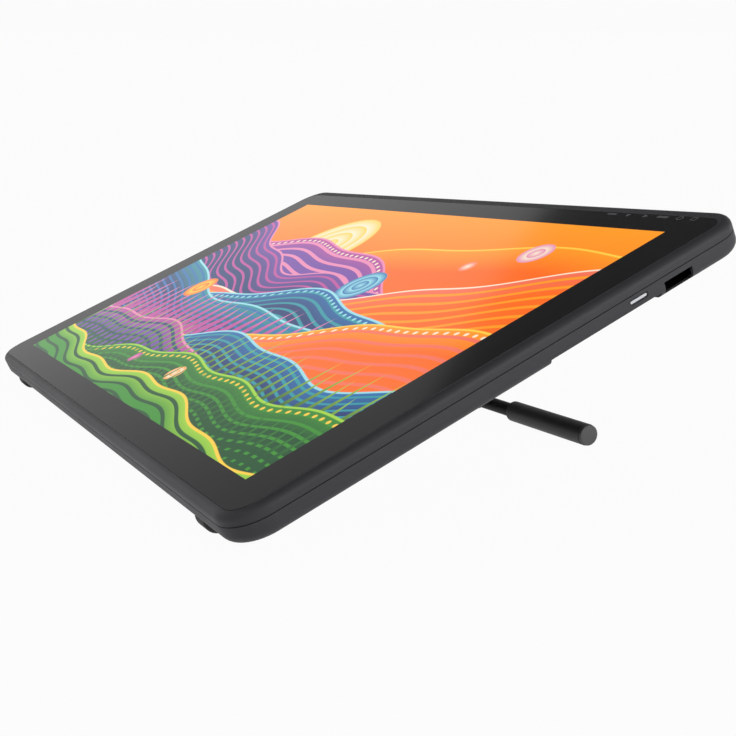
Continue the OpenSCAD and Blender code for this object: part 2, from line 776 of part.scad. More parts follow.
module rear_cover() color("#333539") on_tablet() difference() {
    union() {
        difference() {
            body_form(0, z_seam);
            body_form(-wall, z_seam + over);
            difference() {
                slab(body_w + over, body_h + over, corner_r + over / 2, z_seam + over, z_seam - seam_h);
                slab(body_w - 2 * seam_d, body_h - 2 * seam_d, corner_r - seam_d,
                     z_seam + 2 * over, z_seam - seam_h - over);
            }
        }
        intersection() {
            union() {
                relief_form(wall, z_relief_floor, z_back);
                bay_form(bay_wall, z_bay_roof + bay_wall, z_back);
            }
            body_form(0, z_seam);
        }
        for (p = POSTS) translate(p) post(post_r, z_shield, z_floor - wall / 2);
    }
    relief_form(0, z_back + relief_d, z_back - over);
    bay_form(0, z_bay_roof, z_floor);
    lid_form(lid_rim, z_floor + over, z_back - over);
    lid_form(0, z_back + lid_t, z_back - over);
    translate([side_x - lid_inset - lid_rim, mouth_low, z_back - over])
        cube([lid_inset + lid_rim + over, mouth_w, z_mouth - z_back + over]);
    port_places() side_pill(port_w + 2 * port_mouth_gap, port_h + 2 * port_mouth_gap,
                            bay_x - port_l - over, port_l + 2 * over);
    button_place() {
        side_pill(button_l + 2 * slide_gap, button_h + 2 * slide_gap, flange_x - over, wall + 3 * over);
        side_pill(button_l + 2 * button_rim, button_h + 2 * button_rim, side_x - button_recess, over);
    }
    for (p = concat(square_holes(mount_pitch), square_holes(stand_pitch))) translate(p)
        post(mount_thread_r + mount_hole_gap, z_floor + over, z_back - over);
    for (p = CASE_SCREWS) translate(p) {
        post(case_screw_r + slide_gap, z_floor + over, z_back - over);
        post(case_head_r + part_gap, z_back + case_head_t, z_back - over);
    }
    for (s = [-1, 1]) translate([s * foot_x, foot_v, 0])
        post(foot_plug_r + run_gap, z_floor + over, z_back - over);
    for (i = [0 : vent_count - 1])
        translate([(i - (vent_count - 1) / 2) * vent_pitch, body_h / 2 - vent_drop, z_back - over])
            linear_extrude(wall + 2 * over) pill(vent_l, vent_w);
}

module port_lid() color("#1c1d1f") on_tablet() difference() {
    intersection() {
        lid_form(part_gap, z_back + lid_t, z_back);
        body_form(0, z_seam);
    }
    for (i = [1 : lid_grip_count])
        translate([bay_x + i * lid_grip_pitch, bay_v + lid_grip_l / 2, z_back])
            rotate([90, 0, 0]) cylinder(h = lid_grip_l, r = lid_grip_r);
}

module mount_bracket() color("#9ea2a6") on_tablet() difference() {
    union() {
        plate(bracket_size, bracket_size, z_floor + bracket_t, z_floor);
        for (p = concat(square_holes(mount_pitch), square_holes(stand_pitch))) translate(p)
            post(mount_boss_r, z_floor + mount_thread_l, z_floor);
    }
    for (p = concat(square_holes(mount_pitch), square_holes(stand_pitch))) translate(p)
        post(mount_thread_r, z_floor + mount_thread_l + over, z_floor - over);
}

module case_screws() color("#2a2b2d") on_tablet() for (p = CASE_SCREWS) translate(p) {
    post(case_head_r, z_back + case_head_t, z_back);
    post(case_screw_r, z_floor + case_screw_l - screw_tip_gap, z_back + case_head_t / 2);
}

module front_feet() color("#1a1a1b") on_tablet() for (s = [-1, 1]) translate([s * foot_x, 0, 0]) {
    difference() {
        translate([-foot_l / 2, foot_v, z_foot]) rotate([0, 90, 0]) rotate_extrude() {
            square([foot_r - foot_round, foot_l]);
            translate([0, foot_round]) square([foot_r, foot_l - 2 * foot_round]);
            for (x = [foot_round, foot_l - foot_round])
                translate([foot_r - foot_round, x]) circle(foot_round);
        }
        translate([-s * foot_x, 0, 0]) body_form(run_gap, z_seam + edge_r);
    }
    translate([0, foot_v, 0]) post(foot_plug_r, z_back + foot_plug_l, z_back - over);
}

// Stand base with its hinge
module stand_base() color("#2c2d30") on_tablet() difference() {
    union() {
        translate([0, (base_low + base_high) / 2, 0])
            slab(base_w, base_high - base_low, base_r, z_back, z_base);
        for (x0 = [ear_x, -ear_x - ear_t]) along_x(x0, ear_t) {
            translate([hinge_v - ear_r, z_hinge]) square([2 * ear_r, z_base - z_hinge + base_t / 2]);
            translate([hinge_v, z_hinge]) circle(ear_r);
        }
    }
    translate([0, hinge_v, z_hinge]) rod_x(shaft_r + run_gap, -shaft_half - over, shaft_half + over);
    translate([0, base_window_v, 0])
        slab(base_window_w, base_window_h, base_r, z_back + over, z_base - over);
    for (p = square_holes(stand_pitch)) translate(p)
        post(mount_thread_r + mount_hole_gap, z_back + over, z_base - over);
}

module stand_screws() color("#8e9194") on_tablet() for (p = square_holes(stand_pitch)) translate(p)
    difference() {
        union() {
            post(mount_thread_r - stand_screw_gap, z_floor + mount_thread_l - screw_tip_gap, z_base);
            post(stand_head_r, z_base, z_base - stand_head_t);
        }
        translate([0, 0, z_base - stand_head_t - over])
            cylinder(h = over + stand_key_d, r = stand_key_r, $fn = 6);
    }

module hinge_shaft() color("#b4b7ba") on_tablet() translate([0, hinge_v, z_hinge]) difference() {
    union() {
        rod_x(shaft_r, -shaft_half, shaft_half + shaft_tail);
        rod_x(shaft_head_r, -shaft_half - shaft_head_t, -shaft_half);
    }
    difference() {
        rod_x(shaft_r + over, shaft_half, shaft_half + clip_t + slide_gap);
        rod_x(shaft_r - clip_groove_d, shaft_half - over, shaft_half + clip_t + over);
    }
}

module shaft_clip() color("#d0d2d4") on_tablet() translate([0, hinge_v, z_hinge]) difference() {
    rod_x(clip_r, shaft_half + slide_gap / 2, shaft_half + slide_gap / 2 + clip_t);
    rod_x(shaft_r - clip_groove_d + run_gap, shaft_half - over, shaft_half + clip_t + over);
    translate([shaft_half - over, -clip_mouth_w / 2, 0])
        cube([clip_t + 3 * over, clip_mouth_w, clip_r + over]);
}

module friction_washers() color("#8c7a4a") on_tablet() translate([0, hinge_v, z_hinge])
    for (x0 = [ear_x - slide_gap / 2 - washer_t, -ear_x + slide_gap / 2]) difference() {
        rod_x(washer_r, x0, x0 + washer_t);
        rod_x(shaft_r + run_gap, x0 - over, x0 + washer_t + over);
    }

// Leg with its foot bar
module leg_outline(inset) polygon([
    [-leg_half(0) + inset, 0], [leg_half(0) - inset, 0],
    [leg_half(leg_l) - inset, leg_l], [-leg_half(leg_l) + inset, leg_l]
]);

module stand_leg() color("#2a2b2e") on_leg() difference() {
    union() {
        difference() {
            translate([0, 0, z_leg_back]) linear_extrude(leg_t + channel_d) leg_outline(0);
            translate([0, 0, z_web]) linear_extrude(channel_d + over) leg_outline(leg_t);
        }
        for (x0 = [clutch_gap / 2, -leg_w / 2]) rod_x(knuckle_r, x0, x0 + leg_w / 2 - clutch_gap / 2);
        translate([0, leg_l, 0]) rod_x(socket_r, -leg_foot_w / 2, leg_foot_w / 2);
    }
    translate([-clutch_gap / 2, -knuckle_r - over, -knuckle_r - over])
        cube([clutch_gap, 2 * knuckle_r + 2 * over, 2 * knuckle_r + 2 * over]);
    translate([-notch_w / 2, 0, z_leg_back - over]) cube([notch_w, notch_end, leg_t + 2 * over]);
    rod_x(shaft_r + run_gap, -leg_w, leg_w);
    translate([0, leg_l, 0]) rod_x(rod_r + run_gap, -leg_w, leg_w);
    translate([0, lever_pivot, z_lever_pivot]) rod_x(lever_pin_r + run_gap, -leg_w, leg_w);
    translate([0, pad_u, 0])
        slab(pad_w + 2 * window_gap, pad_l + 2 * window_gap, pad_r + window_gap,
             z_web + over, z_leg_back - over);
}

module clutch_spring() color("#9a9da0") on_leg()
    translate([-clutch_pitch * clutch_turns / 2, 0, 0])
        wire_coil(clutch_coil_r, clutch_wire_r, clutch_pitch, clutch_turns);

module foot_rod() color("#2f3033") on_leg() translate([0, leg_l, 0]) difference() {
    rod_x(rod_r, -rod_half, rod_half);
    for (x0 = [-rod_half - over, rod_half - cap_plug_l - over])
        rod_x(cap_plug_r + run_gap, x0, x0 + cap_plug_l + 2 * over);
}

module foot_sleeve() translate([0, leg_l, 0]) difference() {
    union() {
        rod_x(sleeve_r, rod_half - sleeve_l + sleeve_chamfer, rod_half);
        translate([rod_half - sleeve_l, 0, 0]) rotate([0, 90, 0])
            cylinder(h = sleeve_chamfer, r1 = sleeve_r - sleeve_chamfer, r2 = sleeve_r);
    }
    rod_x(rod_r + run_gap, rod_half - sleeve_l - over, rod_half + over);
}

module foot_sleeve_left() color("#1b1b1d") on_leg() mirror([1, 0, 0]) foot_sleeve();
module foot_sleeve_right() color("#1b1b1d") on_leg() foot_sleeve();

module foot_caps() color("#5b5d60") on_leg() translate([0, leg_l, 0])
    for (side = [0, 1]) mirror([side, 0, 0]) {
        rod_x(cap_r, rod_half, bar_half);
        rod_x(cap_plug_r, rod_half - cap_plug_l + over, rod_half + cap_t / 2);
    }

// Release lever: the thumb pad is pushed towards the tablet, and the nose eases the clutch spring
module release_lever() color("#3a3b3e") on_leg() difference() {
    union() {
        translate([0, (nose_u + lever_end) / 2, 0])
            slab(lever_w, lever_end - nose_u, lever_corner_r, z_lever + lever_t, z_lever);
        translate([0, pad_u, 0]) slab(pad_w, pad_l, pad_r, z_lever + lever_t / 2, z_leg_back - pad_proud);
        translate([0, lever_pivot, z_lever_pivot]) rod_x(lever_hub_r, -lever_w / 2, lever_w / 2);
    }
    translate([0, lever_pivot, z_lever_pivot]) rod_x(lever_pin_r + run_gap, -lever_w, lever_w);
    for (i = [-ridge_count : ridge_count]) translate([0, pad_u + i * ridge_pitch, z_leg_back - pad_proud])
        rod_x(ridge_r, -pad_w, pad_w);
}

module lever_pin() color("#b4b7ba") on_leg() translate([0, lever_pivot, z_lever_pivot])
    rod_x(lever_pin_r, -lever_pin_half, lever_pin_half);

module return_spring() color("#9a9da0") on_leg() translate([return_x, lever_pivot, z_lever_pivot])
    wire_coil(return_coil_r, return_wire_r, return_pitch, return_turns);

cover_glass();
glass_gasket();
touch_key_strip();
front_frame();
bonding_layer();
lcd_panel();
diffuser_films();
light_guide();
led_strip();
backlight_tray();
sensor_board();
shield_plate();
main_board();
board_screws();
usb_ports();
panel_ribbon();
button_board();
button_switch();
power_button();
rear_cover();
port_lid();
mount_bracket();
case_screws();
front_feet();
stand_base();
stand_screws();
hinge_shaft();
shaft_clip();
friction_washers();
stand_leg();
clutch_spring();
release_lever();
lever_pin();
return_spring();
foot_rod();
foot_sleeve_left();
foot_sleeve_right();
foot_caps();
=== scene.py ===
"""A flat pen display on its folding stand, dressed for a studio picture.

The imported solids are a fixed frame. This script gives every solid its finish, adds the small pieces that
the solids leave out, and sets up the sweep, the light and the camera. Lengths are in metres.
"""

import json
import logging
import math
from dataclasses import dataclass
from enum import Enum
from typing import ClassVar, Optional, Sequence, Union

import bmesh
import bpy
from mathutils import Matrix, Vector

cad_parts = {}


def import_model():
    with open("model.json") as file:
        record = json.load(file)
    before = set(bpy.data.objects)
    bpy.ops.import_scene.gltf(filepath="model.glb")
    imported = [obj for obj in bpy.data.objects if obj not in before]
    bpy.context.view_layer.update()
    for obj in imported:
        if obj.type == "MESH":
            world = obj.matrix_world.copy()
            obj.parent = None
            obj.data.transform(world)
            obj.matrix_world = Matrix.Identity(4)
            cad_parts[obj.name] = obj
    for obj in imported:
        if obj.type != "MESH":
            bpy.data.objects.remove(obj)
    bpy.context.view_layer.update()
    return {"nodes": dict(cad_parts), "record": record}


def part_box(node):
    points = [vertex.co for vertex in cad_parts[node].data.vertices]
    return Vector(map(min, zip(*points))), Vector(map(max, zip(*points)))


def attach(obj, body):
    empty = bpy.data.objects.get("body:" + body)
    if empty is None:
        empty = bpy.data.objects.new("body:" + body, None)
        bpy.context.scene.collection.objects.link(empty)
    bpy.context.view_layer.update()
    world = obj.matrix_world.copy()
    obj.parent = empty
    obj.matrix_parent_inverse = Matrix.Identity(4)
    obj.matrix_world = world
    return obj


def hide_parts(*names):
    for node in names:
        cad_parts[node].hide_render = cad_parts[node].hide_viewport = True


LOG = logging.getLogger("pen_display")
MM = 0.001
SHARP_ANGLE = math.radians(40)
GLASS_THICKNESS = 1.2 * MM
SAME_PLACE = 1e-7

Colour = tuple[float, float, float]
Socket = bpy.types.NodeSocket
Value = Union[Socket, float]
Paint = Union[Socket, Colour]

BLACK: Colour = (0.0, 0.0, 0.0)
WHITE: Colour = (1.0, 1.0, 1.0)


def rgba(colour: Colour) -> tuple[float, float, float, float]:
    """Adds a full alpha to a linear colour."""
    return (*colour, 1.0)


def shade(colour: Colour, factor: float, lift: float = 0.0) -> Colour:
    """Multiplies a linear colour by a factor, and lifts it."""
    return tuple(c * factor + lift for c in colour)


class Body(Enum):
    """The bodies that the new pieces ride on."""

    TABLET = "tablet"
    LEG = "leg"


@dataclass(frozen=True)
class TabletPlane:
    """The glass face as a frame of its own: x to the right, v up the picture and w out of the glass.

    Attributes:
        origin: The middle of the picture, on the glass face.
        tilt: The angle between the glass and the desk, in radians.
    """

    origin: Vector
    tilt: float

    @classmethod
    def from_frame(cls, record: dict, glass_thickness: float) -> "TabletPlane":
        """Finds the plane from the mounting threads' axis and the glass.

        Args:
            record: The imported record.
            glass_thickness: The thickness of the cover glass.

        Returns:
            The plane of the glass face.
        """
        axis = next(m["axis"] for m in record["mounts"] if m["kind"] == "threaded_hole")
        tilt = math.atan2(axis[1], -axis[2])
        low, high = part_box("cover_glass")
        outward = Vector((0.0, -math.sin(tilt), math.cos(tilt)))
        return cls((low + high) / 2 + outward * glass_thickness / 2, tilt)

    def turn(self) -> Matrix:
        """Returns the rotation from the plane's axes to the world's."""
        return Matrix.Rotation(self.tilt, 3, "X")

    def point(self, x: float, v: float, w: float) -> Vector:
        """Returns the world place of a point given in the plane."""
        return self.origin + self.turn() @ Vector((x, v, w))

    def direction(self, x: float, v: float, w: float) -> Vector:
        """Returns the world direction of a vector given in the plane."""
        return self.turn() @ Vector((x, v, w))

    def matrix(self) -> Matrix:
        """Returns the transform from the plane to the world."""
        return Matrix.Translation(self.origin) @ self.turn().to_4x4()


class Nodes:
    """A short way to write one material's node tree."""

    def __init__(self, name: str) -> None:
        """Starts a material with a principled shader.

        Args:
            name: The name of the material.
        """
        self.material = bpy.data.materials.new(name)
        self.material.use_nodes = True
        self.tree = self.material.node_tree
        self.shader = next(n for n in self.tree.nodes if n.type == "BSDF_PRINCIPLED")
        self._coordinates: Optional[Socket] = None

    def add(self, kind: str, **settings: object) -> bpy.types.ShaderNode:
        """Adds a node and sets its properties.

        Args:
            kind: The node's type name.
            settings: Properties of the node.

        Returns:
            The new node.
        """
        node = self.tree.nodes.new(kind)
        for key, value in settings.items():
            setattr(node, key, value)
        return node

    def feed(self, socket: Socket, value: object) -> None:
        """Links an input to a socket, or sets the input's own value.

        Args:
            socket: The input.
            value: The socket to link it to, or a plain value.
        """
        if isinstance(value, bpy.types.NodeSocket):
            self.tree.links.new(value, socket)
        else:
            socket.default_value = value

    def set(self, **inputs: object) -> None:
        """Feeds inputs of the principled shader, named with underscores for spaces."""
        for key, value in inputs.items():
            self.feed(self.shader.inputs[key.replace("_", " ")], value)

    def coordinates(self) -> Socket:
        """Reads the piece's own coordinates, which are the part's at rest.

        Returns:
            The coordinates, from one node per material.
        """
        if self._coordinates is None:
            self._coordinates = self.add("ShaderNodeTexCoord").outputs["Object"]
        return self._coordinates

    def mapped(self, location: Sequence[float] = (0, 0, 0), rotation: Sequence[float] = (0, 0, 0),
               scale: Sequence[float] = (1, 1, 1)) -> Socket:
        """Scales, turns and moves the piece's coordinates.

        Args:
            location: The move, which comes last.
            rotation: The turn about each axis, in radians.
            scale: The factor along each axis, which comes first.

        Returns:
            The new coordinates.
        """
        node = self.add("ShaderNodeMapping")
        self.feed(node.inputs["Vector"], self.coordinates())
        node.inputs["Location"].default_value = location
        node.inputs["Rotation"].default_value = rotation
        node.inputs["Scale"].default_value = scale
        return node.outputs["Vector"]

    def noise(self, size: float, detail: float, vector: Optional[Socket] = None) -> Socket:
        """Makes a noise whose features have a given size.

        Args:
            size: The size of a feature, in the vector's own units.
            detail: The number of finer layers.
            vector: The coordinates, or None for the piece's own.

        Returns:
            The noise, from 0 to 1.
        """
        node = self.add("ShaderNodeTexNoise")
        self.feed(node.inputs["Vector"], vector or self.coordinates())
        node.inputs["Scale"].default_value = 1 / size
        node.inputs["Detail"].default_value = detail
        return node.outputs["Fac"]

    def math(self, operation: str, a: Value, b: Value = 0.0, c: Value = 0.0) -> Socket:
        """Adds one math node.

        Args:
            operation: The name of the operation.
            a: The first value.
            b: The second value, where the operation has one.
            c: The third value, where the operation has one.

        Returns:
            The result.
        """
        node = self.add("ShaderNodeMath", operation=operation)
        for socket, value in zip(node.inputs, (a, b, c)):
            self.feed(socket, value)
        return node.outputs["Value"]

    def scaled(self, value: Socket, low: float, high: float) -> Socket:
        """Stretches a value that runs from 0 to 1 over another range."""
        return self.math("MULTIPLY_ADD", value, high - low, low)

    def around(self, value: Socket, middle: float, spread: float) -> Socket:
        """Stretches a value that runs from 0 to 1 over a spread to both sides of a middle."""
        return self.scaled(value, middle - spread, middle + spread)

    def step(self, value: Value, edge: Value, softness: float) -> Socket:
        """Changes from 0 to 1 where a value passes an edge.

        Args:
            value: The value.
            edge: The edge.
            softness: How far to both sides of the edge the change reaches.

        Returns:
            0 below the edge and 1 above it, with a soft change between.
        """
        node = self.add("ShaderNodeMapRange", interpolation_type="SMOOTHSTEP")
        self.feed(node.inputs["Value"], self.math("SUBTRACT", value, edge))
        node.inputs["From Min"].default_value = -softness
        node.inputs["From Max"].default_value = softness
        return node.outputs["Result"]

    def mix(self, base: Paint, top: Paint, share: Value) -> Socket:
        """Lays one colour over another.

        Args:
            base: The lower colour.
            top: The upper colour.
            share: How much of the upper colour shows, from 0 to 1.

        Returns:
            The mixed colour.
        """
        node = self.add("ShaderNodeMix", data_type="RGBA")
        self.feed(node.inputs["Factor"], share)
        for name, value in (("A", base), ("B", top)):
            socket = next(s for s in node.inputs if s.name == name and s.type == "RGBA")
            self.feed(socket, rgba(value) if isinstance(value, tuple) else value)
        return next(s for s in node.outputs if s.type == "RGBA")

    def ramp(self, value: Socket, stops: Sequence[tuple[float, Colour]]) -> Socket:
        """Turns a value into a colour.

        Args:
            value: The value, from 0 to 1.
            stops: The place and the colour of each stop.

        Returns:
            The colour.
        """
        node = self.add("ShaderNodeValToRGB")
        elements = node.color_ramp.elements
        while len(elements) < len(stops):
            elements.new(1.0)
        for element, (place, colour) in zip(elements, stops):
            element.position = place
            element.color = rgba(colour)
        self.feed(node.inputs["Fac"], value)
        return node.outputs["Color"]

    def bump(self, height: Socket, depth: float) -> None:
        """Roughens the surface.

        Args:
            height: The height, from 0 to 1.
            depth: The depth that this range stands for.
        """
        node = self.add("ShaderNodeBump")
        node.inputs["Distance"].default_value = depth
        self.feed(node.inputs["Height"], height)
        self.feed(self.shader.inputs["Normal"], node.outputs["Normal"])


@dataclass(frozen=True)
class Moulded:
    """Moulded plastic or rubber with a fine eroded texture.

    Attributes:
        name: The name of the finish.
        colour: The linear base colour.
        roughness: The middle roughness.
        grain: The size of the texture's grains.
        depth: The depth of the texture.
        mottling: How far the colour wanders, as a share.
        sheen: The strength of a dusty sheen.
        specular: The strength of the highlights.
        cloud: The size of the broad clouds in colour and roughness.
        spread: How far the roughness wanders.
    """

    name: str
    colour: Colour
    roughness: float = 0.5
    grain: float = 0.35 * MM
    depth: float = 0.02 * MM
    mottling: float = 0.12
    sheen: float = 0.0
    specular: float = 0.5
    cloud: float = 40 * MM
    spread: float = 0.06

    def build(self) -> bpy.types.Material:
        """Makes the material.

        Returns:
            The material.
        """
        nodes = Nodes(self.name)
        cloud = nodes.noise(self.cloud, detail=4.0)
        grain = nodes.noise(self.grain, detail=2.0)
        mean = nodes.math("MULTIPLY_ADD", grain, 0.5, nodes.math("MULTIPLY", cloud, 0.5))
        dark = shade(self.colour, 1 - self.mottling)
        light = shade(self.colour, 1 + self.mottling)
        nodes.set(Base_Color=nodes.mix(dark, light, mean))
        nodes.set(Roughness=nodes.around(cloud, self.roughness, self.spread))
        nodes.set(Sheen_Weight=self.sheen, Specular_IOR_Level=self.specular)
        nodes.bump(grain, self.depth)
        return nodes.material


@dataclass(frozen=True)
class Coated:
    """Metal under a powder coat or black oxide, with a slight orange peel.

    Attributes:
        name: The name of the finish.
        colour: The linear colour of the coat.
        roughness: The middle roughness.
        peel: The size of the orange peel.
        depth: The depth of the orange peel.
        specular: The strength of the highlights.
        spread: How far the roughness wanders.
        speck_count: The number of specks along the size of the orange peel.
        speck_level: The level of the noise above which a speck shows, and the softness of its edge.
        speck_tint: The factor and the lift from the coat's colour to a speck's.
        speck_share: How much of a speck's colour shows.
    """

    name: str
    colour: Colour
    roughness: float = 0.45
    peel: float = 0.8 * MM
    depth: float = 0.015 * MM
    specular: float = 0.5
    spread: float = 0.08
    speck_count: float = 3.0
    speck_level: tuple[float, float] = (0.68, 0.03)
    speck_tint: tuple[float, float] = (1.7, 0.004)
    speck_share: float = 0.35

    def build(self) -> bpy.types.Material:
        """Makes the material.

        Returns:
            The material.
        """
        nodes = Nodes(self.name)
        peel = nodes.noise(self.peel, detail=2.0)
        fine = nodes.noise(self.peel / self.speck_count, detail=1.0)
        speck = nodes.step(fine, *self.speck_level)
        share = nodes.math("MULTIPLY", speck, self.speck_share)
        nodes.set(Base_Color=nodes.mix(self.colour, shade(self.colour, *self.speck_tint), share))
        nodes.set(Roughness=nodes.around(peel, self.roughness, self.spread))
        nodes.set(Specular_IOR_Level=self.specular)
        nodes.bump(peel, self.depth)
        return nodes.material


@dataclass(frozen=True)
class BareMetal:
    """Bare metal with fine streaks along one axis.

    Attributes:
        name: The name of the finish.
        colour: The linear colour of the metal.
        roughness: The middle roughness.
        streak: The length and width of a streak, along X and across it.
        spread: How far the roughness wanders.
        dark: The factor from the metal's colour to that of its dark streaks.
        depth: The depth of the streaks.
    """

    name: str
    colour: Colour
    roughness: float = 0.32
    streak: tuple[float, float] = (12 * MM, 0.12 * MM)
    spread: float = 0.1
    dark: float = 0.82
    depth: float = 0.004 * MM

    def build(self) -> bpy.types.Material:
        """Makes the material.

        Returns:
            The material.
        """
        nodes = Nodes(self.name)
        along, across = self.streak
        drawn = nodes.mapped(scale=(1 / along, 1 / across, 1 / across))
        streaks = nodes.noise(1.0, detail=3.0, vector=drawn)
        nodes.set(Base_Color=nodes.mix(shade(self.colour, self.dark), self.colour, streaks), Metallic=1.0)
        nodes.set(Roughness=nodes.around(streaks, self.roughness, self.spread))
        nodes.bump(streaks, self.depth)
        return nodes.material


@dataclass(frozen=True)
class ClearSheet:
    """A clear or milky plastic sheet inside the screen.

    Attributes:
        name: The name of the finish.
        colour: The linear colour of the sheet.
        clearness: How much light passes.
        haze: The size of the clouds in the sheet.
        dark: The factor from the sheet's colour to that of its darker clouds.
        roughness: The lowest and the highest roughness.
        ior: The index of refraction.
    """

    name: str
    colour: Colour
    clearness: float = 0.7
    haze: float = 6 * MM
    dark: float = 0.94
    roughness: tuple[float, float] = (0.12, 0.2)
    ior: float = 1.49

    def build(self) -> bpy.types.Material:
        """Makes the material.

        Returns:
            The material.
        """
        nodes = Nodes(self.name)
        haze = nodes.noise(self.haze, detail=2.0)
        nodes.set(Base_Color=nodes.mix(shade(self.colour, self.dark), self.colour, haze))
        nodes.set(Roughness=nodes.scaled(haze, *self.roughness))
        nodes.set(Transmission_Weight=self.clearness, IOR=self.ior)
        return nodes.material


@dataclass(frozen=True)
class Board:
    """A circuit board with solder mask over fine copper tracks.

    Attributes:
        name: The name of the finish.
        mask: The linear colour of the solder mask.
        pitch: The distance between two tracks.
        field: The size of the fields between the tracks, in pitches.
        track_edge: The half width of a track, as a share of a field, and the softness of its edge.
        copper: The factor and the lift from the mask's colour to that over copper.
        roughness: The lowest and the highest roughness.
        specular: The strength of the highlights.
        depth: The height of the tracks.
    """

    name: str
    mask: Colour = (0.008, 0.09, 0.035)
    pitch: float = 1.6 * MM
    field: float = 4.0
    track_edge: tuple[float, float] = (0.08, 0.02)
    copper: tuple[float, float] = (2.2, 0.01)
    roughness: tuple[float, float] = (0.28, 0.4)
    specular: float = 0.6
    depth: float = 0.03 * MM

    def build(self) -> bpy.types.Material:
        """Makes the material.

        Returns:
            The material.
        """
        nodes = Nodes(self.name)
        cell = nodes.add("ShaderNodeTexVoronoi", feature="DISTANCE_TO_EDGE", distance="MANHATTAN")
        nodes.feed(cell.inputs["Vector"], nodes.coordinates())
        cell.inputs["Scale"].default_value = 1 / (self.field * self.pitch)
        track = nodes.step(cell.outputs["Distance"], *self.track_edge)
        nodes.set(Base_Color=nodes.mix(shade(self.mask, *self.copper), self.mask, track))
        nodes.set(Roughness=nodes.scaled(nodes.noise(self.pitch, detail=2.0), *self.roughness))
        nodes.set(Specular_IOR_Level=self.specular)
        nodes.bump(track, self.depth)
        return nodes.material


@dataclass(frozen=True)
class Swing:
    """One sine in the outline of a wave, in units of the picture's height.

    Attributes:
        height: How far it rises and falls.
        pace: How fast it runs to the right, in radians.
        phase: Where it starts, in radians.
    """

    height: float
    pace: float
    phase: float


@dataclass(frozen=True)
class Wave:
    """One flat wave of colour that fills the picture below its outline.

    Attributes:
        level: The height of its outline at the middle of the picture.
        slope: Its rise to the right.
        swings: The sines that shape its outline.
        crest: The colour at its outline.
        deep: The colour further down.
        depth: How far down the crest's colour reaches.
        line: The colour of the thin line along its outline.
        band: The colour of the lines that follow its outline further down, or None.
        pitch: The distance between those lines.
        beads: The colour of the row of beads under its outline, or None.
    """

    level: float
    slope: float
    swings: tuple[Swing, ...]
    crest: Colour
    deep: Colour
    depth: float
    line: Colour
    band: Optional[Colour] = None
    pitch: float = 0.03
    beads: Optional[Colour] = None


@dataclass(frozen=True)
class Disc:
    """One round disc in the picture, in units of the picture's height.

    Attributes:
        x: The place of its middle to the right.
        v: The place of its middle upwards.
        radius: Its radius.
        face: The colour of its middle.
        rim: The colour of its rim.
        rings: The number of rings in it.
    """

    x: float
    v: float
    radius: float
    face: Colour
    rim: Colour
    rings: int = 1


@dataclass(frozen=True)
class BladeRow:
    """A row of leaning blades behind a wave, in units of the picture's height.

    Attributes:
        level: The height of their feet.
        height: The height of the tallest blade.
        pitch: The distance between two blades.
        lean: How far a tip leans, in pitches.
        foot: The colour at the foot.
        tip: The colour at the tip.
    """

    level: float
    height: float
    pitch: float
    lean: float
    foot: Colour
    tip: Colour


Layer = Union[Wave, Disc, BladeRow]

ORANGE: Colour = (1.0, 0.15, 0.008)
AMBER: Colour = (1.0, 0.33, 0.012)
YELLOW: Colour = (1.0, 0.62, 0.06)
SALMON: Colour = (0.9, 0.17, 0.1)
PINK: Colour = (0.8, 0.25, 0.45)
MAGENTA: Colour = (0.5, 0.07, 0.32)
PURPLE: Colour = (0.17, 0.06, 0.36)
NAVY: Colour = (0.012, 0.04, 0.16)
BLUE: Colour = (0.015, 0.16, 0.42)
TEAL: Colour = (0.02, 0.3, 0.36)
CYAN: Colour = (0.32, 0.72, 0.8)
FOREST: Colour = (0.008, 0.08, 0.02)
GREEN: Colour = (0.04, 0.27, 0.025)
LIME: Colour = (0.36, 0.65, 0.05)
CREAM: Colour = (0.95, 0.82, 0.62)

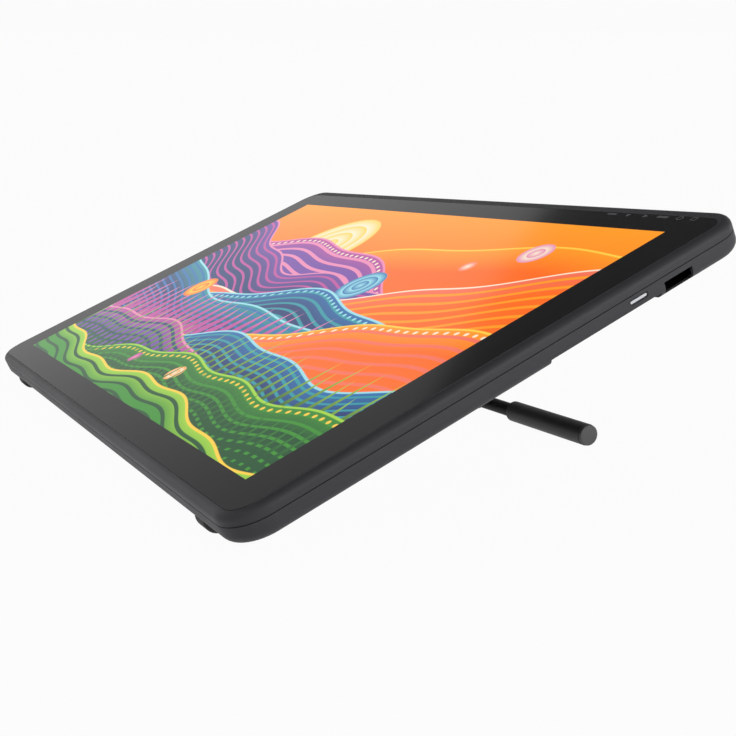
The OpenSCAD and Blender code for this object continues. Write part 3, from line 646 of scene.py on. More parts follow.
SKY: tuple[tuple[float, Colour], ...] = ((0.0, SALMON), (0.6, ORANGE), (1.0, AMBER))
LAYERS: tuple[Layer, ...] = (
    Disc(-0.3, 0.27, 0.17, CREAM, YELLOW, rings=4),
    Wave(0.25, 0.16, (Swing(0.045, 3.1, 0.4), Swing(0.014, 10.0, 1.0)), AMBER, ORANGE, 0.12, YELLOW),
    Disc(0.62, 0.36, 0.045, CREAM, PINK, rings=2),
    Disc(0.47, 0.27, 0.022, CREAM, SALMON),
    Wave(0.2, -0.17, (Swing(0.06, 4.1, 2.0), Swing(0.02, 12.0, 0.3)), MAGENTA, PURPLE, 0.09, PINK,
         band=PINK, pitch=0.04, beads=CREAM),
    Wave(0.12, -0.22, (Swing(0.05, 5.3, 0.2), Swing(0.02, 15.0, 1.9)), PURPLE, NAVY, 0.12, PINK,
         band=MAGENTA, pitch=0.028),
    Wave(0.06, 0.24, (Swing(0.055, 3.4, 4.2), Swing(0.012, 14.0, 2.0)), SALMON, ORANGE, 0.1, CREAM,
         band=AMBER, pitch=0.042),
    Disc(0.2, 0.12, 0.07, CYAN, BLUE, rings=3),
    Wave(0.0, 0.04, (Swing(0.06, 4.8, 1.2), Swing(0.015, 13.0, 0.7)), BLUE, NAVY, 0.1, CYAN,
         band=TEAL, pitch=0.03, beads=CYAN),
    Wave(-0.07, -0.18, (Swing(0.05, 3.9, 0.1), Swing(0.014, 11.0, 2.6)), TEAL, NAVY, 0.12, CYAN,
         band=BLUE, pitch=0.024),
    BladeRow(-0.14, 0.12, 0.05, 0.25, MAGENTA, PINK),
    Disc(-0.55, -0.04, 0.055, YELLOW, ORANGE, rings=2),
    Disc(0.42, -0.12, 0.04, PINK, PURPLE, rings=2),
    Wave(-0.15, 0.19, (Swing(0.05, 4.4, 5.0), Swing(0.01, 16.0, 0.5)), AMBER, ORANGE, 0.1, YELLOW,
         band=SALMON, pitch=0.04, beads=CREAM),
    Wave(-0.22, 0.06, (Swing(0.045, 5.4, 1.0), Swing(0.014, 14.0, 1.2)), BLUE, NAVY, 0.09, CYAN,
         band=TEAL, pitch=0.026),
    Wave(-0.28, -0.1, (Swing(0.04, 5.0, 3.0), Swing(0.012, 15.0, 0.2)), MAGENTA, PURPLE, 0.07, PINK,
         band=NAVY, pitch=0.036),
    BladeRow(-0.33, 0.2, 0.045, 0.26, FOREST, LIME),
    Wave(-0.33, 0.08, (Swing(0.035, 4.2, 1.7), Swing(0.012, 17.0, 0.9)), GREEN, FOREST, 0.08, LIME,
         band=GREEN, pitch=0.028, beads=YELLOW),
    Disc(0.1, -0.36, 0.03, CREAM, AMBER, rings=2),
    Disc(-0.2, -0.37, 0.022, PINK, MAGENTA),
    BladeRow(-0.44, 0.15, 0.034, 0.24, FOREST, GREEN),
    Wave(-0.42, -0.05, (Swing(0.028, 5.6, 0.6), Swing(0.01, 19.0, 2.2)), LIME, GREEN, 0.07, YELLOW,
         band=FOREST, pitch=0.034),
)


@dataclass(frozen=True)
class ScreenGlass:
    """The cover glass, seen as one face: a black printed border round a lit picture.

    Attributes:
        name: The name of the finish.
        plane: The plane of the glass face.
        width: The width of the lit picture.
        height: The height of the lit picture.
        border: The linear colour of the printed border.
        border_dark: The factor from that colour to the border's darkest.
        roughness: The roughness of the etched face.
        spread: How far the roughness wanders.
        smear: The size of the smears on the face, in units of the picture's height.
        ior: The index of refraction.
        specular: The strength of the reflections, low because the face is coated.
        glow: The strength of the picture's own light.
        edge: How far the outlines in the picture are softened, in units of its height.
        line_width: The width of the lines along the waves, in the same units.
        band_share: How much of a wave's pitch its bands leave free.
        blade_half: Half the width of a blade's foot, in pitches.
        blade_least: The height of the shortest blade, as a share of the tallest.
        bead_pitch: The distance between two beads, in units of the picture's height.
        bead_drop: From a wave's outline down to its beads.
        bead_radius: The radius of a bead.
    """

    name: str
    plane: TabletPlane
    width: float = 476 * MM
    height: float = 268 * MM
    border: Colour = (0.028, 0.028, 0.03)
    border_dark: float = 0.85
    roughness: float = 0.1
    spread: float = 0.02
    smear: float = 0.5
    ior: float = 1.5
    specular: float = 0.04
    glow: float = 1.0
    edge: float = 0.0015
    line_width: float = 0.007
    band_share: float = 0.7
    blade_half: float = 0.24
    blade_least: float = 0.5
    bead_pitch: float = 0.03
    bead_drop: float = 0.02
    bead_radius: float = 0.006

    def build(self) -> bpy.types.Material:
        """Makes the material.

        Returns:
            The material.
        """
        nodes = Nodes(self.name)
        turn = Matrix.Rotation(-self.plane.tilt, 3, "X")
        place = nodes.mapped(location=-(turn @ self.plane.origin) / self.height,
                             rotation=(-self.plane.tilt, 0, 0), scale=(1 / self.height,) * 3)
        split = nodes.add("ShaderNodeSeparateXYZ")
        nodes.feed(split.inputs["Vector"], place)
        x, v = split.outputs["X"], split.outputs["Y"]
        lit = nodes.math("MULTIPLY", self.inside(nodes, x, self.width / self.height / 2),
                         self.inside(nodes, v, 0.5))
        picture = self.picture(nodes, x, v)
        smear = nodes.noise(self.smear, detail=3.0, vector=place)
        nodes.set(Base_Color=nodes.mix(shade(self.border, self.border_dark), self.border, smear))
        nodes.set(Roughness=nodes.around(smear, self.roughness, self.spread))
        nodes.set(Emission_Color=nodes.mix(BLACK, picture, lit), Emission_Strength=self.glow)
        nodes.set(IOR=self.ior, Specular_IOR_Level=self.specular)
        return nodes.material

    def inside(self, nodes: Nodes, value: Socket, half: float) -> Socket:
        """Returns 1 where a value lies within half a width of 0."""
        return nodes.math("LESS_THAN", nodes.math("ABSOLUTE", value), half)

    def picture(self, nodes: Nodes, x: Socket, v: Socket) -> Socket:
        """Paints the picture, one layer over another.

        Args:
            nodes: The material's nodes.
            x: The place to the right.
            v: The place upwards.

        Returns:
            The picture's colour.
        """
        colour = nodes.ramp(nodes.math("ADD", v, 0.5), SKY)
        for layer in LAYERS:
            if isinstance(layer, Wave):
                colour = self.wave(nodes, colour, layer, x, v)
            elif isinstance(layer, Disc):
                colour = self.disc(nodes, colour, layer, x, v)
            else:
                colour = self.blades(nodes, colour, layer, x, v)
        return colour

    def wave(self, nodes: Nodes, base: Socket, wave: Wave, x: Socket, v: Socket) -> Socket:
        """Lays one wave over the picture.

        Args:
            nodes: The material's nodes.
            base: The picture's colour so far.
            wave: The wave.
            x: The place to the right.
            v: The place upwards.

        Returns:
            The picture's new colour.
        """
        height = nodes.math("MULTIPLY_ADD", x, wave.slope, wave.level)
        for swing in wave.swings:
            angle = nodes.math("MULTIPLY_ADD", x, swing.pace, swing.phase)
            height = nodes.math("MULTIPLY_ADD", nodes.math("SINE", angle), swing.height, height)
        below = nodes.math("SUBTRACT", height, v)
        colour = nodes.mix(wave.crest, wave.deep, nodes.math("DIVIDE", below, wave.depth))
        if wave.band is not None:
            turn = nodes.math("FRACT", nodes.math("DIVIDE", below, wave.pitch))
            colour = nodes.mix(colour, wave.band, nodes.step(turn, self.band_share, self.edge / wave.pitch))
        if wave.beads is not None:
            turn = nodes.math("FRACT", nodes.math("DIVIDE", x, self.bead_pitch))
            along = nodes.math("MULTIPLY", nodes.math("SUBTRACT", turn, 0.5), self.bead_pitch)
            far = self.distance(nodes, along, nodes.math("SUBTRACT", below, self.bead_drop))
            colour = nodes.mix(colour, wave.beads, nodes.step(self.bead_radius, far, self.edge))
        colour = nodes.mix(colour, wave.line, nodes.step(self.line_width, below, self.edge))
        return nodes.mix(base, colour, nodes.step(below, 0.0, self.edge))

    def distance(self, nodes: Nodes, dx: Socket, dv: Socket) -> Socket:
        """Returns the length of a step in the picture."""
        return nodes.math("SQRT", nodes.math("MULTIPLY_ADD", dx, dx, nodes.math("MULTIPLY", dv, dv)))

    def disc(self, nodes: Nodes, base: Socket, disc: Disc, x: Socket, v: Socket) -> Socket:
        """Lays one disc over the picture.

        Args:
            nodes: The material's nodes.
            base: The picture's colour so far.
            disc: The disc.
            x: The place to the right.
            v: The place upwards.

        Returns:
            The picture's new colour.
        """
        far = self.distance(nodes, nodes.math("SUBTRACT", x, disc.x), nodes.math("SUBTRACT", v, disc.v))
        ring = nodes.math("FRACT", nodes.math("MULTIPLY", far, disc.rings / disc.radius))
        colour = nodes.mix(disc.face, disc.rim, ring)
        return nodes.mix(base, colour, nodes.step(disc.radius, far, self.edge))

    def blades(self, nodes: Nodes, base: Socket, row: BladeRow, x: Socket, v: Socket) -> Socket:
        """Lays one row of blades over the picture, each of its own height and lean.

        Args:
            nodes: The material's nodes.
            base: The picture's colour so far.
            row: The row of blades.
            x: The place to the right.
            v: The place upwards.

        Returns:
            The picture's new colour.
        """
        place = nodes.math("DIVIDE", x, row.pitch)
        dice = nodes.add("ShaderNodeTexWhiteNoise", noise_dimensions="1D")
        nodes.feed(dice.inputs["W"], nodes.math("FLOOR", place))
        chance = dice.outputs["Value"]
        rise = nodes.math("DIVIDE", nodes.math("SUBTRACT", v, row.level), row.height)
        rise = nodes.math("DIVIDE", rise, nodes.scaled(chance, self.blade_least, 1.0))
        bend = nodes.math("MULTIPLY", rise, rise)
        lean = nodes.math("MULTIPLY", nodes.around(chance, 0.0, row.lean), bend)
        across = nodes.math("SUBTRACT", nodes.math("SUBTRACT", nodes.math("FRACT", place), 0.5), lean)
        half = nodes.math("MULTIPLY", nodes.math("SUBTRACT", 1.0, rise), self.blade_half)
        mask = nodes.step(half, nodes.math("ABSOLUTE", across), self.edge / row.pitch)
        return nodes.mix(base, nodes.mix(row.foot, row.tip, rise), mask)


Finish = Union[Moulded, Coated, BareMetal, ClearSheet, Board, ScreenGlass]

FRAME_PLASTIC = Moulded("frame_plastic", (0.05, 0.051, 0.057), roughness=0.55, specular=0.32)
COVER_PLASTIC = Moulded("cover_plastic", (0.048, 0.049, 0.055), roughness=0.58, specular=0.36)
KEY_PRINT = Moulded("key_print", (0.125, 0.125, 0.128), roughness=0.4)
BLACK_RUBBER = Moulded("black_rubber", (0.012, 0.012, 0.012), roughness=0.72, grain=0.6 * MM, sheen=0.05)
SLEEVE_RUBBER = Moulded("sleeve_rubber", (0.024, 0.024, 0.025), roughness=0.55, grain=0.5 * MM,
                        depth=0.01 * MM, specular=0.42)
BLACK_PLASTIC = Moulded("black_plastic", (0.012, 0.012, 0.012), roughness=0.5)
# Port lid: black plastic, made darker and duller than the other black plastic, so its edge at the bottom of the
# port notch paints the notch's shade
LID_BLACK_AND_PAINTED_SHADE = Moulded("lid_black_and_painted_shade", (0.008, 0.008, 0.008), roughness=0.6, specular=0.12)
LEVER_PLASTIC = Moulded("lever_plastic", (0.03, 0.03, 0.033), roughness=0.5)
CAP_PLASTIC = Moulded("cap_plastic", (0.1, 0.1, 0.104), roughness=0.5)
PANEL_FACE = Moulded("panel_face", (0.02, 0.02, 0.022), roughness=0.35)
STAND_COAT = Coated("stand_coat", (0.018, 0.018, 0.02), roughness=0.48)
ROD_COAT = Coated("rod_coat", (0.004, 0.004, 0.0045), roughness=0.55, specular=0.12)
SCREW_OXIDE = Coated("screw_oxide", (0.014, 0.014, 0.014), roughness=0.38, peel=0.3 * MM)
BRIGHT_STEEL = BareMetal("bright_steel", (0.56, 0.57, 0.58))
PORT_STEEL = BareMetal("port_steel", (0.5, 0.51, 0.52), roughness=0.28, streak=(3 * MM, 0.1 * MM))
SPRING_STEEL = BareMetal("spring_steel", (0.42, 0.42, 0.44), roughness=0.3, streak=(2 * MM, 0.2 * MM))
SHEET_ALUMINIUM = BareMetal("sheet_aluminium", (0.68, 0.69, 0.7), roughness=0.38)
BUTTON_SILVER = BareMetal("button_silver", (0.43, 0.44, 0.455), roughness=0.34, streak=(2 * MM, 0.15 * MM))
WASHER_BRASS = BareMetal("washer_brass", (0.58, 0.42, 0.18), roughness=0.35)
CLEAR_FILM = ClearSheet("clear_film", (0.86, 0.92, 0.92))
WHITE_FILM = ClearSheet("white_film", (0.9, 0.9, 0.88), clearness=0.3)
RIBBON_FILM = ClearSheet("ribbon_film", (0.62, 0.3, 0.06), clearness=0.35)
GREEN_BOARD = Board("green_board")


class Library:
    """The finishes that have been made into materials."""

    def __init__(self) -> None:
        """Starts with no materials."""
        self._made: dict[str, bpy.types.Material] = {}

    def material(self, finish: Finish) -> bpy.types.Material:
        """Finds the material of a finish, and makes it the first time.

        Args:
            finish: The finish.

        Returns:
            The material.
        """
        if finish.name not in self._made:
            self._made[finish.name] = finish.build()
        return self._made[finish.name]


@dataclass
class Part:
    """A sub-assembly: the solids that it dresses and the pieces that it adds.

    Attributes:
        nodes: The frame's solids by name.
        plane: The plane of the glass face.
        finishes: The finish of each solid.
    """

    nodes: dict[str, bpy.types.Object]
    plane: TabletPlane
    finishes: ClassVar[dict[str, Finish]] = {}

    def coat(self, name: str, finish: Finish, library: Library) -> None:
        """Gives one solid its finish.

        Args:
            name: The name of the solid.
            finish: The finish.
            library: The materials.
        """
        slots = self.nodes[name].data.materials
        slots.clear()
        slots.append(library.material(finish))
        LOG.info("%s: %s", name, finish.name)

    def dress(self, library: Library) -> None:
        """Gives each solid of the sub-assembly its finish."""
        for name, finish in self.finishes.items():
            self.coat(name, finish, library)

    def build(self, library: Library) -> None:
        """Adds the sub-assembly's new pieces. A sub-assembly with none leaves this as it is."""


def make_piece(name: str, shape: bmesh.types.BMesh, material: bpy.types.Material, body: Body) -> bpy.types.Object:
    """Turns a finished bmesh into a piece that rides on a body.

    Args:
        name: The name of the piece.
        shape: The mesh, in the part's frame. It is freed.
        material: The material of the piece.
        body: The body that carries the piece.

    Returns:
        The new object.
    """
    mesh = make_mesh(name, shape, material)
    mesh.set_sharp_from_angle(angle=SHARP_ANGLE)
    piece = bpy.data.objects.new(name, mesh)
    bpy.context.scene.collection.objects.link(piece)
    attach(piece, body.value)
    LOG.info("%s: %d faces", name, len(mesh.polygons))
    return piece


def make_mesh(name: str, shape: bmesh.types.BMesh, material: bpy.types.Material) -> bpy.types.Mesh:
    """Turns a bmesh into a smooth mesh of one material.

    Args:
        name: The name of the mesh.
        shape: The bmesh. It is freed.
        material: The material.

    Returns:
        The mesh.
    """
    mesh = bpy.data.meshes.new(name)
    for face in shape.faces:
        face.smooth = True
    shape.to_mesh(mesh)
    shape.free()
    mesh.materials.append(material)
    return mesh


def only_verts(geometry: Sequence[object]) -> list[bmesh.types.BMVert]:
    """Returns the vertices among an operator's results."""
    return [item for item in geometry if isinstance(item, bmesh.types.BMVert)]


def open_edges(shape: bmesh.types.BMesh) -> list[bmesh.types.BMEdge]:
    """Returns the edges that only one face has."""
    return [edge for edge in shape.edges if edge.is_boundary]


def round_edges(shape: bmesh.types.BMesh, edges: Sequence[bmesh.types.BMEdge], radius: float,
                steps: int) -> None:
    """Rounds edges of a mesh.

    Args:
        shape: The mesh.
        edges: The edges.
        radius: The radius of the rounding.
        steps: The number of faces across it.
    """
    bmesh.ops.bevel(shape, geom=edges, affect="EDGES", offset=radius, segments=steps, profile=0.5,
                    material=-1)


def join(shape: bmesh.types.BMesh, piece: bmesh.types.BMesh, place: Matrix) -> None:
    """Adds one closed mesh to another.

    Args:
        shape: The mesh that takes the piece.
        piece: The piece, in its own frame. It is freed.
        place: The transform from the piece's frame.
    """
    bmesh.ops.recalc_face_normals(piece, faces=piece.faces)
    bmesh.ops.transform(piece, matrix=place, verts=piece.verts)
    mesh = bpy.data.meshes.new("joined")
    piece.to_mesh(mesh)
    piece.free()
    shape.from_mesh(mesh)
    bpy.data.meshes.remove(mesh)


def islands(solid: bpy.types.Object, into: Matrix) -> list[tuple[Vector, Vector]]:
    """Finds the separate bodies of one solid.

    Args:
        solid: The solid's object.
        into: The transform from the part's frame to the frame of the answer.

    Returns:
        The lowest and highest corner of each body, in a fixed order.
    """
    shape = bmesh.new()
    shape.from_mesh(solid.data)
    bmesh.ops.remove_doubles(shape, verts=shape.verts, dist=SAME_PLACE)
    left = set(shape.verts)
    boxes = []
    while left:
        front = [left.pop()]
        places = []
        while front:
            vert = front.pop()
            places.append(into @ solid.matrix_world @ vert.co)
            near = {edge.other_vert(vert) for edge in vert.link_edges} & left
            left -= near
            front.extend(near)
        boxes.append((Vector(map(min, zip(*places))), Vector(map(max, zip(*places)))))
    shape.free()
    return sorted(boxes, key=lambda box: tuple(box[0]))


@dataclass(frozen=True)
class KeyMark:
    """One printed mark over a touch key.

    Attributes:
        x: The place of its middle to the right.
        sides: The number of its corners.
        length: Its size to the right.
        height: Its size upwards.
        turn: Its turn in degrees.
        line: The width of its line, as a share of its radius, or 0 for a filled mark.
    """

    x: float
    sides: int
    length: float
    height: float
    turn: float = 0.0
    line: float = 0.0


@dataclass
class Screen(Part):
    """The glass, the panel behind it and the printed key marks.

    Attributes:
        mark_v: The height of the key marks above the picture's middle.
        mark_thickness: The thickness of the print.
        marks: The key marks.
    """

    finishes: ClassVar[dict[str, Finish]] = {
        "glass_gasket": BLACK_RUBBER,
        "touch_key_strip": GREEN_BOARD,
        "bonding_layer": CLEAR_FILM,
        "lcd_panel": PANEL_FACE,
        "diffuser_films": WHITE_FILM,
        "light_guide": CLEAR_FILM,
        "led_strip": GREEN_BOARD,
        "backlight_tray": SHEET_ALUMINIUM,
        "sensor_board": GREEN_BOARD,
        "shield_plate": SHEET_ALUMINIUM,
    }
    mark_v: float = 150.9 * MM
    mark_thickness: float = 0.02 * MM
    marks: tuple[KeyMark, ...] = (
        KeyMark(172.0 * MM, 4, 8.5 * MM, 1.7 * MM, 45.0),
        KeyMark(187.2 * MM, 3, 4.6 * MM, 4.4 * MM, 180.0),
        KeyMark(202.2 * MM, 3, 5.2 * MM, 4.6 * MM, 270.0),
        KeyMark(217.4 * MM, 4, 9.0 * MM, 2.3 * MM, 45.0),
        KeyMark(231.8 * MM, 24, 4.8 * MM, 4.8 * MM, line=0.35),
        KeyMark(243.2 * MM, 4, 4.2 * MM, 4.0 * MM, 45.0, line=0.35),
    )

    def dress(self, library: Library) -> None:
        """Gives the glass its picture and each inner sheet its finish."""
        super().dress(library)
        self.coat("cover_glass", ScreenGlass("screen_glass", self.plane), library)

    def build(self, library: Library) -> None:
        """Prints the key marks on the glass.

        Args:
            library: The materials.
        """
        shape = bmesh.new()
        for mark in self.marks:
            self.print_mark(shape, mark)
        make_piece("key_marks", shape, library.material(KEY_PRINT), Body.TABLET)

    def print_mark(self, shape: bmesh.types.BMesh, mark: KeyMark) -> None:
        """Adds one mark to the print, filled or as a closed line.

        Args:
            shape: The mesh that takes the mark.
            mark: The mark.
        """
        flat = bmesh.new()
        # The mark starts in a box of 1 by 1: a square has its corners in the box's corners.
        radius = math.sqrt(0.5) if mark.sides == 4 else 0.5
        bmesh.ops.create_circle(flat, cap_ends=not mark.line, segments=mark.sides, radius=radius)
        if mark.line:
            inner = bmesh.ops.extrude_edge_only(flat, edges=flat.edges[:])["geom"]
            bmesh.ops.scale(flat, vec=(1 - mark.line, 1 - mark.line, 1), verts=only_verts(inner))
        top = bmesh.ops.extrude_face_region(flat, geom=flat.faces[:])["geom"]
        bmesh.ops.translate(flat, vec=(0, 0, 1), verts=only_verts(top))
        place = (Matrix.Translation((mark.x, self.mark_v, 0))
                 @ Matrix.Diagonal((mark.length, mark.height, self.mark_thickness, 1))
                 @ Matrix.Rotation(math.radians(mark.turn), 4, "Z"))
        join(shape, flat, self.plane.matrix() @ place)


@dataclass
class Housing(Part):
    """The front frame, the rear cover and what is fixed to them.

    Attributes:
        screw_head_t: The height of a case screw's head.
        screw_head_r: The radius of a case screw's head.
        screw_shank_r: The radius of a case screw's shank.
        head_round: The rounding of a head's rim.
        head_steps: The number of faces across that rounding.
        cross_depth: The depth of a head's cross.
        cross_reach: How far the cross reaches, as a share of the head.
        cross_half: Half the width of the cross, as a share of the head.
    """

    finishes: ClassVar[dict[str, Finish]] = {
        "front_frame": FRAME_PLASTIC,
        "rear_cover": COVER_PLASTIC,
        # the port lid is coloured darker than its plastic to paint the shade in the port notch
        "port_lid": LID_BLACK_AND_PAINTED_SHADE,
        "mount_bracket": BRIGHT_STEEL,
        "front_feet": BLACK_RUBBER,
    }
    screw_head_t: float = 1.1 * MM
    screw_head_r: float = 2.8 * MM
    screw_shank_r: float = 1.2 * MM
    head_round: float = 0.25 * MM
    head_steps: int = 2
    cross_depth: float = 0.7 * MM
    cross_reach: float = 0.58
    cross_half: float = 0.13

    def build(self, library: Library) -> None:
        """Gives the case screws their crossed heads.

        Args:
            library: The materials.
        """
        shape = bmesh.new()
        turn_out = Matrix.Rotation(math.pi, 4, "X")
        for low, high in islands(self.nodes["case_screws"], self.plane.matrix().inverted()):
            middle = Matrix.Translation(((low.x + high.x) / 2, (low.y + high.y) / 2, low.z))
            self.screw(shape, self.plane.matrix() @ middle @ turn_out, high.z - low.z)
        oxide = library.material(SCREW_OXIDE)
        piece = make_piece("crossed_case_screws", shape, oxide, Body.TABLET)
        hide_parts("case_screws")

    def screw(self, shape: bmesh.types.BMesh, place: Matrix, length: float) -> None:
        """Adds one screw, with the middle of its head's face at the origin of its own frame.

        Args:
            shape: The mesh that takes the screw.
            place: The transform from the screw's frame, where +Z points out of its head.
            length: The length of the whole screw.
        """
        screw = self.head_face()
        rim = open_edges(screw)
        cross = [face for face in screw.faces if self.in_cross(face.calc_center_median())]
        edges = dict.fromkeys(edge for face in cross for edge in face.edges)
        sunk = bmesh.ops.extrude_face_region(screw, geom=[*cross, *edges])["geom"]
        bmesh.ops.translate(screw, vec=(0, 0, -self.cross_depth), verts=only_verts(sunk))
        loop = rim
        neck = self.screw_shank_r / self.screw_head_r
        for share, drop in ((1.0, self.screw_head_t), (neck, 0.0), (1.0, length - self.screw_head_t)):
            verts = only_verts(bmesh.ops.extrude_edge_only(screw, edges=loop)["geom"])
            bmesh.ops.scale(screw, vec=(share, share, 1.0), verts=verts)
            bmesh.ops.translate(screw, vec=(0, 0, -drop), verts=verts)
            loop = open_edges(screw)
        bmesh.ops.contextual_create(screw, geom=loop)
        round_edges(screw, rim, self.head_round, self.head_steps)
        join(shape, screw, place)

    def head_face(self) -> bmesh.types.BMesh:
        """Makes the round face of a screw's head, with lines along the sides and ends of its cross.

        Returns:
            The face, a square grid drawn out to a circle.
        """
        cells = 5
        stops = {1: self.cross_half, 3: self.cross_reach, 5: 1.0}
        face = bmesh.new()
        bmesh.ops.create_grid(face, x_segments=cells, y_segments=cells, size=1.0)
        for vert in face.verts:
            x, y = (math.copysign(stops[round(abs(c) * cells)], c) for c in vert.co.xy)
            vert.co.xy = (x * math.sqrt(1 - y * y / 2), y * math.sqrt(1 - x * x / 2))
        bmesh.ops.scale(face, vec=(self.screw_head_r, self.screw_head_r, 1.0), verts=face.verts)
        return face

    def in_cross(self, middle: Vector) -> bool:
        """Returns whether a face of the head lies in its cross."""
        near, far = sorted((abs(middle.x), abs(middle.y)))
        return near < self.cross_half * self.screw_head_r and far < self.cross_reach * self.screw_head_r


@dataclass
class Electronics(Part):
    """The boards, the ports and the power button."""

    finishes: ClassVar[dict[str, Finish]] = {
        "main_board": GREEN_BOARD,
        "board_screws": BRIGHT_STEEL,
        "usb_ports": PORT_STEEL,
        "panel_ribbon": RIBBON_FILM,
        "button_board": GREEN_BOARD,
        "button_switch": BLACK_PLASTIC,
        "power_button": BUTTON_SILVER,
    }


@dataclass
class Stand(Part):
    """The folding stand: base, hinge, leg, release lever and foot bar.

    Attributes:
        cap_thickness: The thickness of the foot bar's end discs.
        cap_sides: The number of their sides.
        cap_round: The rounding of their rims.
        cap_steps: The number of faces across that rounding.
    """

    finishes: ClassVar[dict[str, Finish]] = {
        "stand_base": STAND_COAT,
        "stand_screws": SCREW_OXIDE,
        "hinge_shaft": BRIGHT_STEEL,
        "shaft_clip": BRIGHT_STEEL,
        "friction_washers": WASHER_BRASS,
        "stand_leg": STAND_COAT,
        "clutch_spring": SPRING_STEEL,
        "release_lever": LEVER_PLASTIC,
        "lever_pin": BRIGHT_STEEL,
        "return_spring": SPRING_STEEL,
        "foot_rod": ROD_COAT,
        "foot_sleeve_left": SLEEVE_RUBBER,
        "foot_sleeve_right": SLEEVE_RUBBER,
    }
    cap_thickness: float = 2.5 * MM
    cap_sides: int = 64
    cap_round: float = 0.8 * MM
    cap_steps: int = 4

    def build(self, library: Library) -> None:
        """Gives the foot bar its rounded end discs.

        Args:
            library: The materials.
        """
        low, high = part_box("foot_caps")
        middle = (low + high) / 2
        radius = (high.z - low.z) / 2
        shape = bmesh.new()
        for side in (-1, 1):
            x = side * (high.x - self.cap_thickness / 2)
            turn = Matrix.Rotation(side * math.pi / 2, 4, "Y")
            disc = bmesh.ops.create_cone(shape, cap_ends=True, segments=self.cap_sides, radius1=radius,
                                         radius2=radius, depth=self.cap_thickness,
                                         matrix=Matrix.Translation((x, middle.y, middle.z)) @ turn)
            outer = {vert for vert in disc["verts"] if vert.co.x * side > x * side}
            rim = [edge for edge in shape.edges if outer.issuperset(edge.verts)]
            round_edges(shape, rim, self.cap_round, self.cap_steps)
        plastic = library.material(CAP_PLASTIC)
        piece = make_piece("rounded_end_discs", shape, plastic, Body.LEG)
        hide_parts("foot_caps")


@dataclass(frozen=True)
class Lamp:
    """A soft square lamp.

    Attributes:
        name: The name of the lamp.
        place: Where it stands.
        size: The length of its side.
        power: Its power in watts.
    """

    name: str
    place: tuple[float, float, float]
    size: float
    power: float


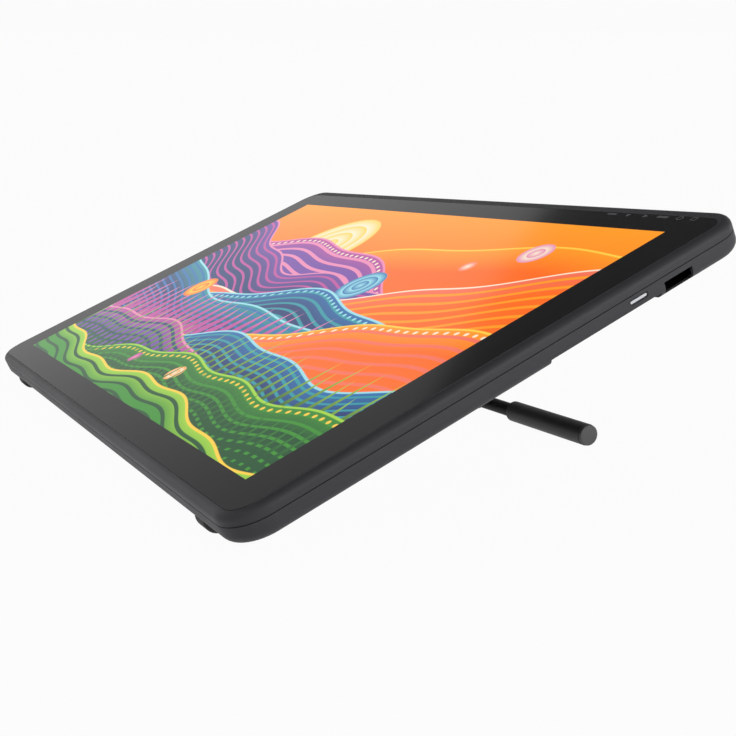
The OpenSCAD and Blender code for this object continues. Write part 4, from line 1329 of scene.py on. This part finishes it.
@dataclass
class Studio:
    """The sweep, the lamps and the camera.

    Attributes:
        plane: The plane of the glass face.
        eye: The camera's place in the glass plane.
        forward: The camera's view direction in the glass plane.
        up: The camera's upward direction in the glass plane.
        focal: The focal length in pixels of the picture.
        pixels: The width of the picture in pixels.
        sensor: The width of the camera's sensor, in millimetres.
        clip_start: The nearest distance that the camera sees.
        sweep_radius: The radius of the round sweep.
        sweep_sides: The number of steps round the sweep.
        wall_height: The height of the wall's rim beside the tablet.
        rim_fall: The fall of the wall's rim towards the back.
        fillet: The radius between the sweep's floor and its wall.
        fillet_steps: The number of faces across that rounding.
        merge: The distance under which the sweep's points are one.
        paint: The linear grey of the sweep's paint.
        paint_roughness: The roughness of the paint.
        white: How much of plain white the camera and reflections see on the sweep.
        lamps: The lamps.
        upper: The brightness of the dark room above the sweep, in reflections.
        ambient: The brightness of the soft light from all round.
    """

    plane: TabletPlane
    eye: tuple[float, float, float] = (0.7579, -0.25538, 0.21465)
    forward: tuple[float, float, float] = (-0.88013, 0.33788, -0.33349)
    up: tuple[float, float, float] = (-0.14909, 0.47022, 0.86987)
    focal: float = 1217.6
    pixels: float = 736.0
    sensor: float = 36.0
    clip_start: float = 0.01
    sweep_radius: float = 2.4
    sweep_sides: int = 96
    wall_height: float = 1.747
    rim_fall: float = 0.341
    fillet: float = 0.5
    fillet_steps: int = 12
    merge: float = 1e-6
    paint: float = 0.85
    paint_roughness: float = 0.9
    white: float = 0.96
    lamps: tuple[Lamp, ...] = (
        Lamp("left_lamp", (-1.7, -1.2, 0.35), 1.2, 3.0),
        Lamp("right_lamp", (1.7, 0.7, 0.4), 1.2, 14.0),
    )
    upper: float = 0.14
    ambient: float = 0.27

    def build(self) -> None:
        """Sets up the whole studio."""
        self.make_sweep()
        self.make_world()
        for lamp in self.lamps:
            self.make_lamp(lamp)
        self.make_camera()

    def make_sweep(self) -> None:
        """Spins a floor with a rounded wall, whose rim is cut on a slant."""
        shape = bmesh.new()
        corner = self.sweep_radius - self.fillet
        profile = [(0.0, 0.0), (corner, 0.0)]
        for i in range(1, self.fillet_steps + 1):
            angle = math.pi / 2 * i / self.fillet_steps
            profile.append((corner + self.fillet * math.sin(angle), self.fillet * (1 - math.cos(angle))))
        profile.append((self.sweep_radius, self.wall_height + self.rim_fall * self.sweep_radius))
        verts = [shape.verts.new((r, 0.0, z)) for r, z in profile]
        edges = [shape.edges.new(pair) for pair in zip(verts, verts[1:])]
        bmesh.ops.spin(shape, geom=verts + edges, cent=(0, 0, 0), axis=(0, 0, 1), dvec=(0, 0, 0),
                       angle=2 * math.pi, steps=self.sweep_sides, use_merge=True)
        bmesh.ops.remove_doubles(shape, verts=shape.verts, dist=self.merge)
        bmesh.ops.bisect_plane(shape, geom=[*shape.verts, *shape.edges, *shape.faces], dist=self.merge,
                               plane_co=(0, 0, self.wall_height), plane_no=(0, self.rim_fall, 1),
                               clear_outer=True)
        bmesh.ops.recalc_face_normals(shape, faces=shape.faces)
        bmesh.ops.reverse_faces(shape, faces=[face for face in shape.faces if face.normal.z < 0])
        sweep = bpy.data.objects.new("sweep", make_mesh("sweep", shape, self.sweep_material()))
        bpy.context.scene.collection.objects.link(sweep)

    def sweep_material(self) -> bpy.types.Material:
        """Makes a pale paint that the camera and reflections see as white, with the object's shadow.

        Returns:
            The material.
        """
        nodes = Nodes("sweep_paint")
        nodes.set(Base_Color=rgba((self.paint,) * 3), Roughness=self.paint_roughness)
        nodes.set(Specular_IOR_Level=0.0)
        glow = nodes.add("ShaderNodeEmission")
        glow.inputs["Strength"].default_value = 1.0
        path = nodes.add("ShaderNodeLightPath").outputs
        seen = nodes.math("MAXIMUM", path["Is Glossy Ray"], path["Is Transmission Ray"])
        seen = nodes.math("MAXIMUM", path["Is Camera Ray"], seen)
        mix = nodes.add("ShaderNodeMixShader")
        nodes.feed(mix.inputs["Fac"], nodes.math("MULTIPLY", seen, self.white))
        nodes.feed(mix.inputs[1], nodes.shader.outputs["BSDF"])
        nodes.feed(mix.inputs[2], glow.outputs["Emission"])
        output = next(n for n in nodes.tree.nodes if n.type == "OUTPUT_MATERIAL")
        nodes.feed(output.inputs["Surface"], mix.outputs["Shader"])
        return nodes.material

    def make_world(self) -> None:
        """Lights the object softly from all round, with a dark room above in reflections."""
        world = bpy.data.worlds.new("studio_world")
        bpy.context.scene.world = world
        world.use_nodes = True
        tree = world.node_tree
        back = next(n for n in tree.nodes if n.type == "BACKGROUND")
        path = tree.nodes.new("ShaderNodeLightPath")
        mix = tree.nodes.new("ShaderNodeMix")
        mix.inputs["A"].default_value = self.ambient
        mix.inputs["B"].default_value = self.upper
        tree.links.new(path.outputs["Is Glossy Ray"], mix.inputs["Factor"])
        tree.links.new(mix.outputs["Result"], back.inputs["Strength"])
        back.inputs["Color"].default_value = rgba(WHITE)

    def make_lamp(self, lamp: Lamp) -> None:
        """Adds one lamp, turned towards the tablet.

        Args:
            lamp: The lamp.
        """
        light = bpy.data.lights.new(lamp.name, "AREA")
        light.energy = lamp.power
        light.size = lamp.size
        holder = bpy.data.objects.new(lamp.name, light)
        place = Vector(lamp.place)
        aim = (self.plane.origin - place).to_track_quat("-Z", "Y").to_matrix().to_4x4()
        holder.matrix_world = Matrix.Translation(place) @ aim
        holder.visible_camera = False
        bpy.context.scene.collection.objects.link(holder)

    def make_camera(self) -> None:
        """Adds the camera at the photograph's viewpoint."""
        data = bpy.data.cameras.new("camera")
        data.sensor_width = self.sensor
        data.lens = self.focal / self.pixels * self.sensor
        data.clip_start = self.clip_start
        camera = bpy.data.objects.new("camera", data)
        back = -self.plane.direction(*self.forward).normalized()
        right = self.plane.direction(*self.up).cross(back).normalized()
        turn = Matrix((right, back.cross(right), back)).transposed()
        camera.matrix_world = Matrix.Translation(self.plane.point(*self.eye)) @ turn.to_4x4()
        bpy.context.scene.collection.objects.link(camera)
        bpy.context.scene.camera = camera


def main() -> None:
    """Loads the frame, dresses it and sets up the studio."""
    logging.basicConfig(level=logging.INFO, format="%(name)s %(message)s")
    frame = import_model()
    plane = TabletPlane.from_frame(frame["record"], GLASS_THICKNESS)
    Studio(plane).build()
    library = Library()
    for kind in (Screen, Housing, Electronics, Stand):
        part = kind(frame["nodes"], plane)
        part.dress(library)
        part.build(library)
    bpy.context.scene.view_settings.view_transform = "Standard"


if __name__ == "__main__":
    main()
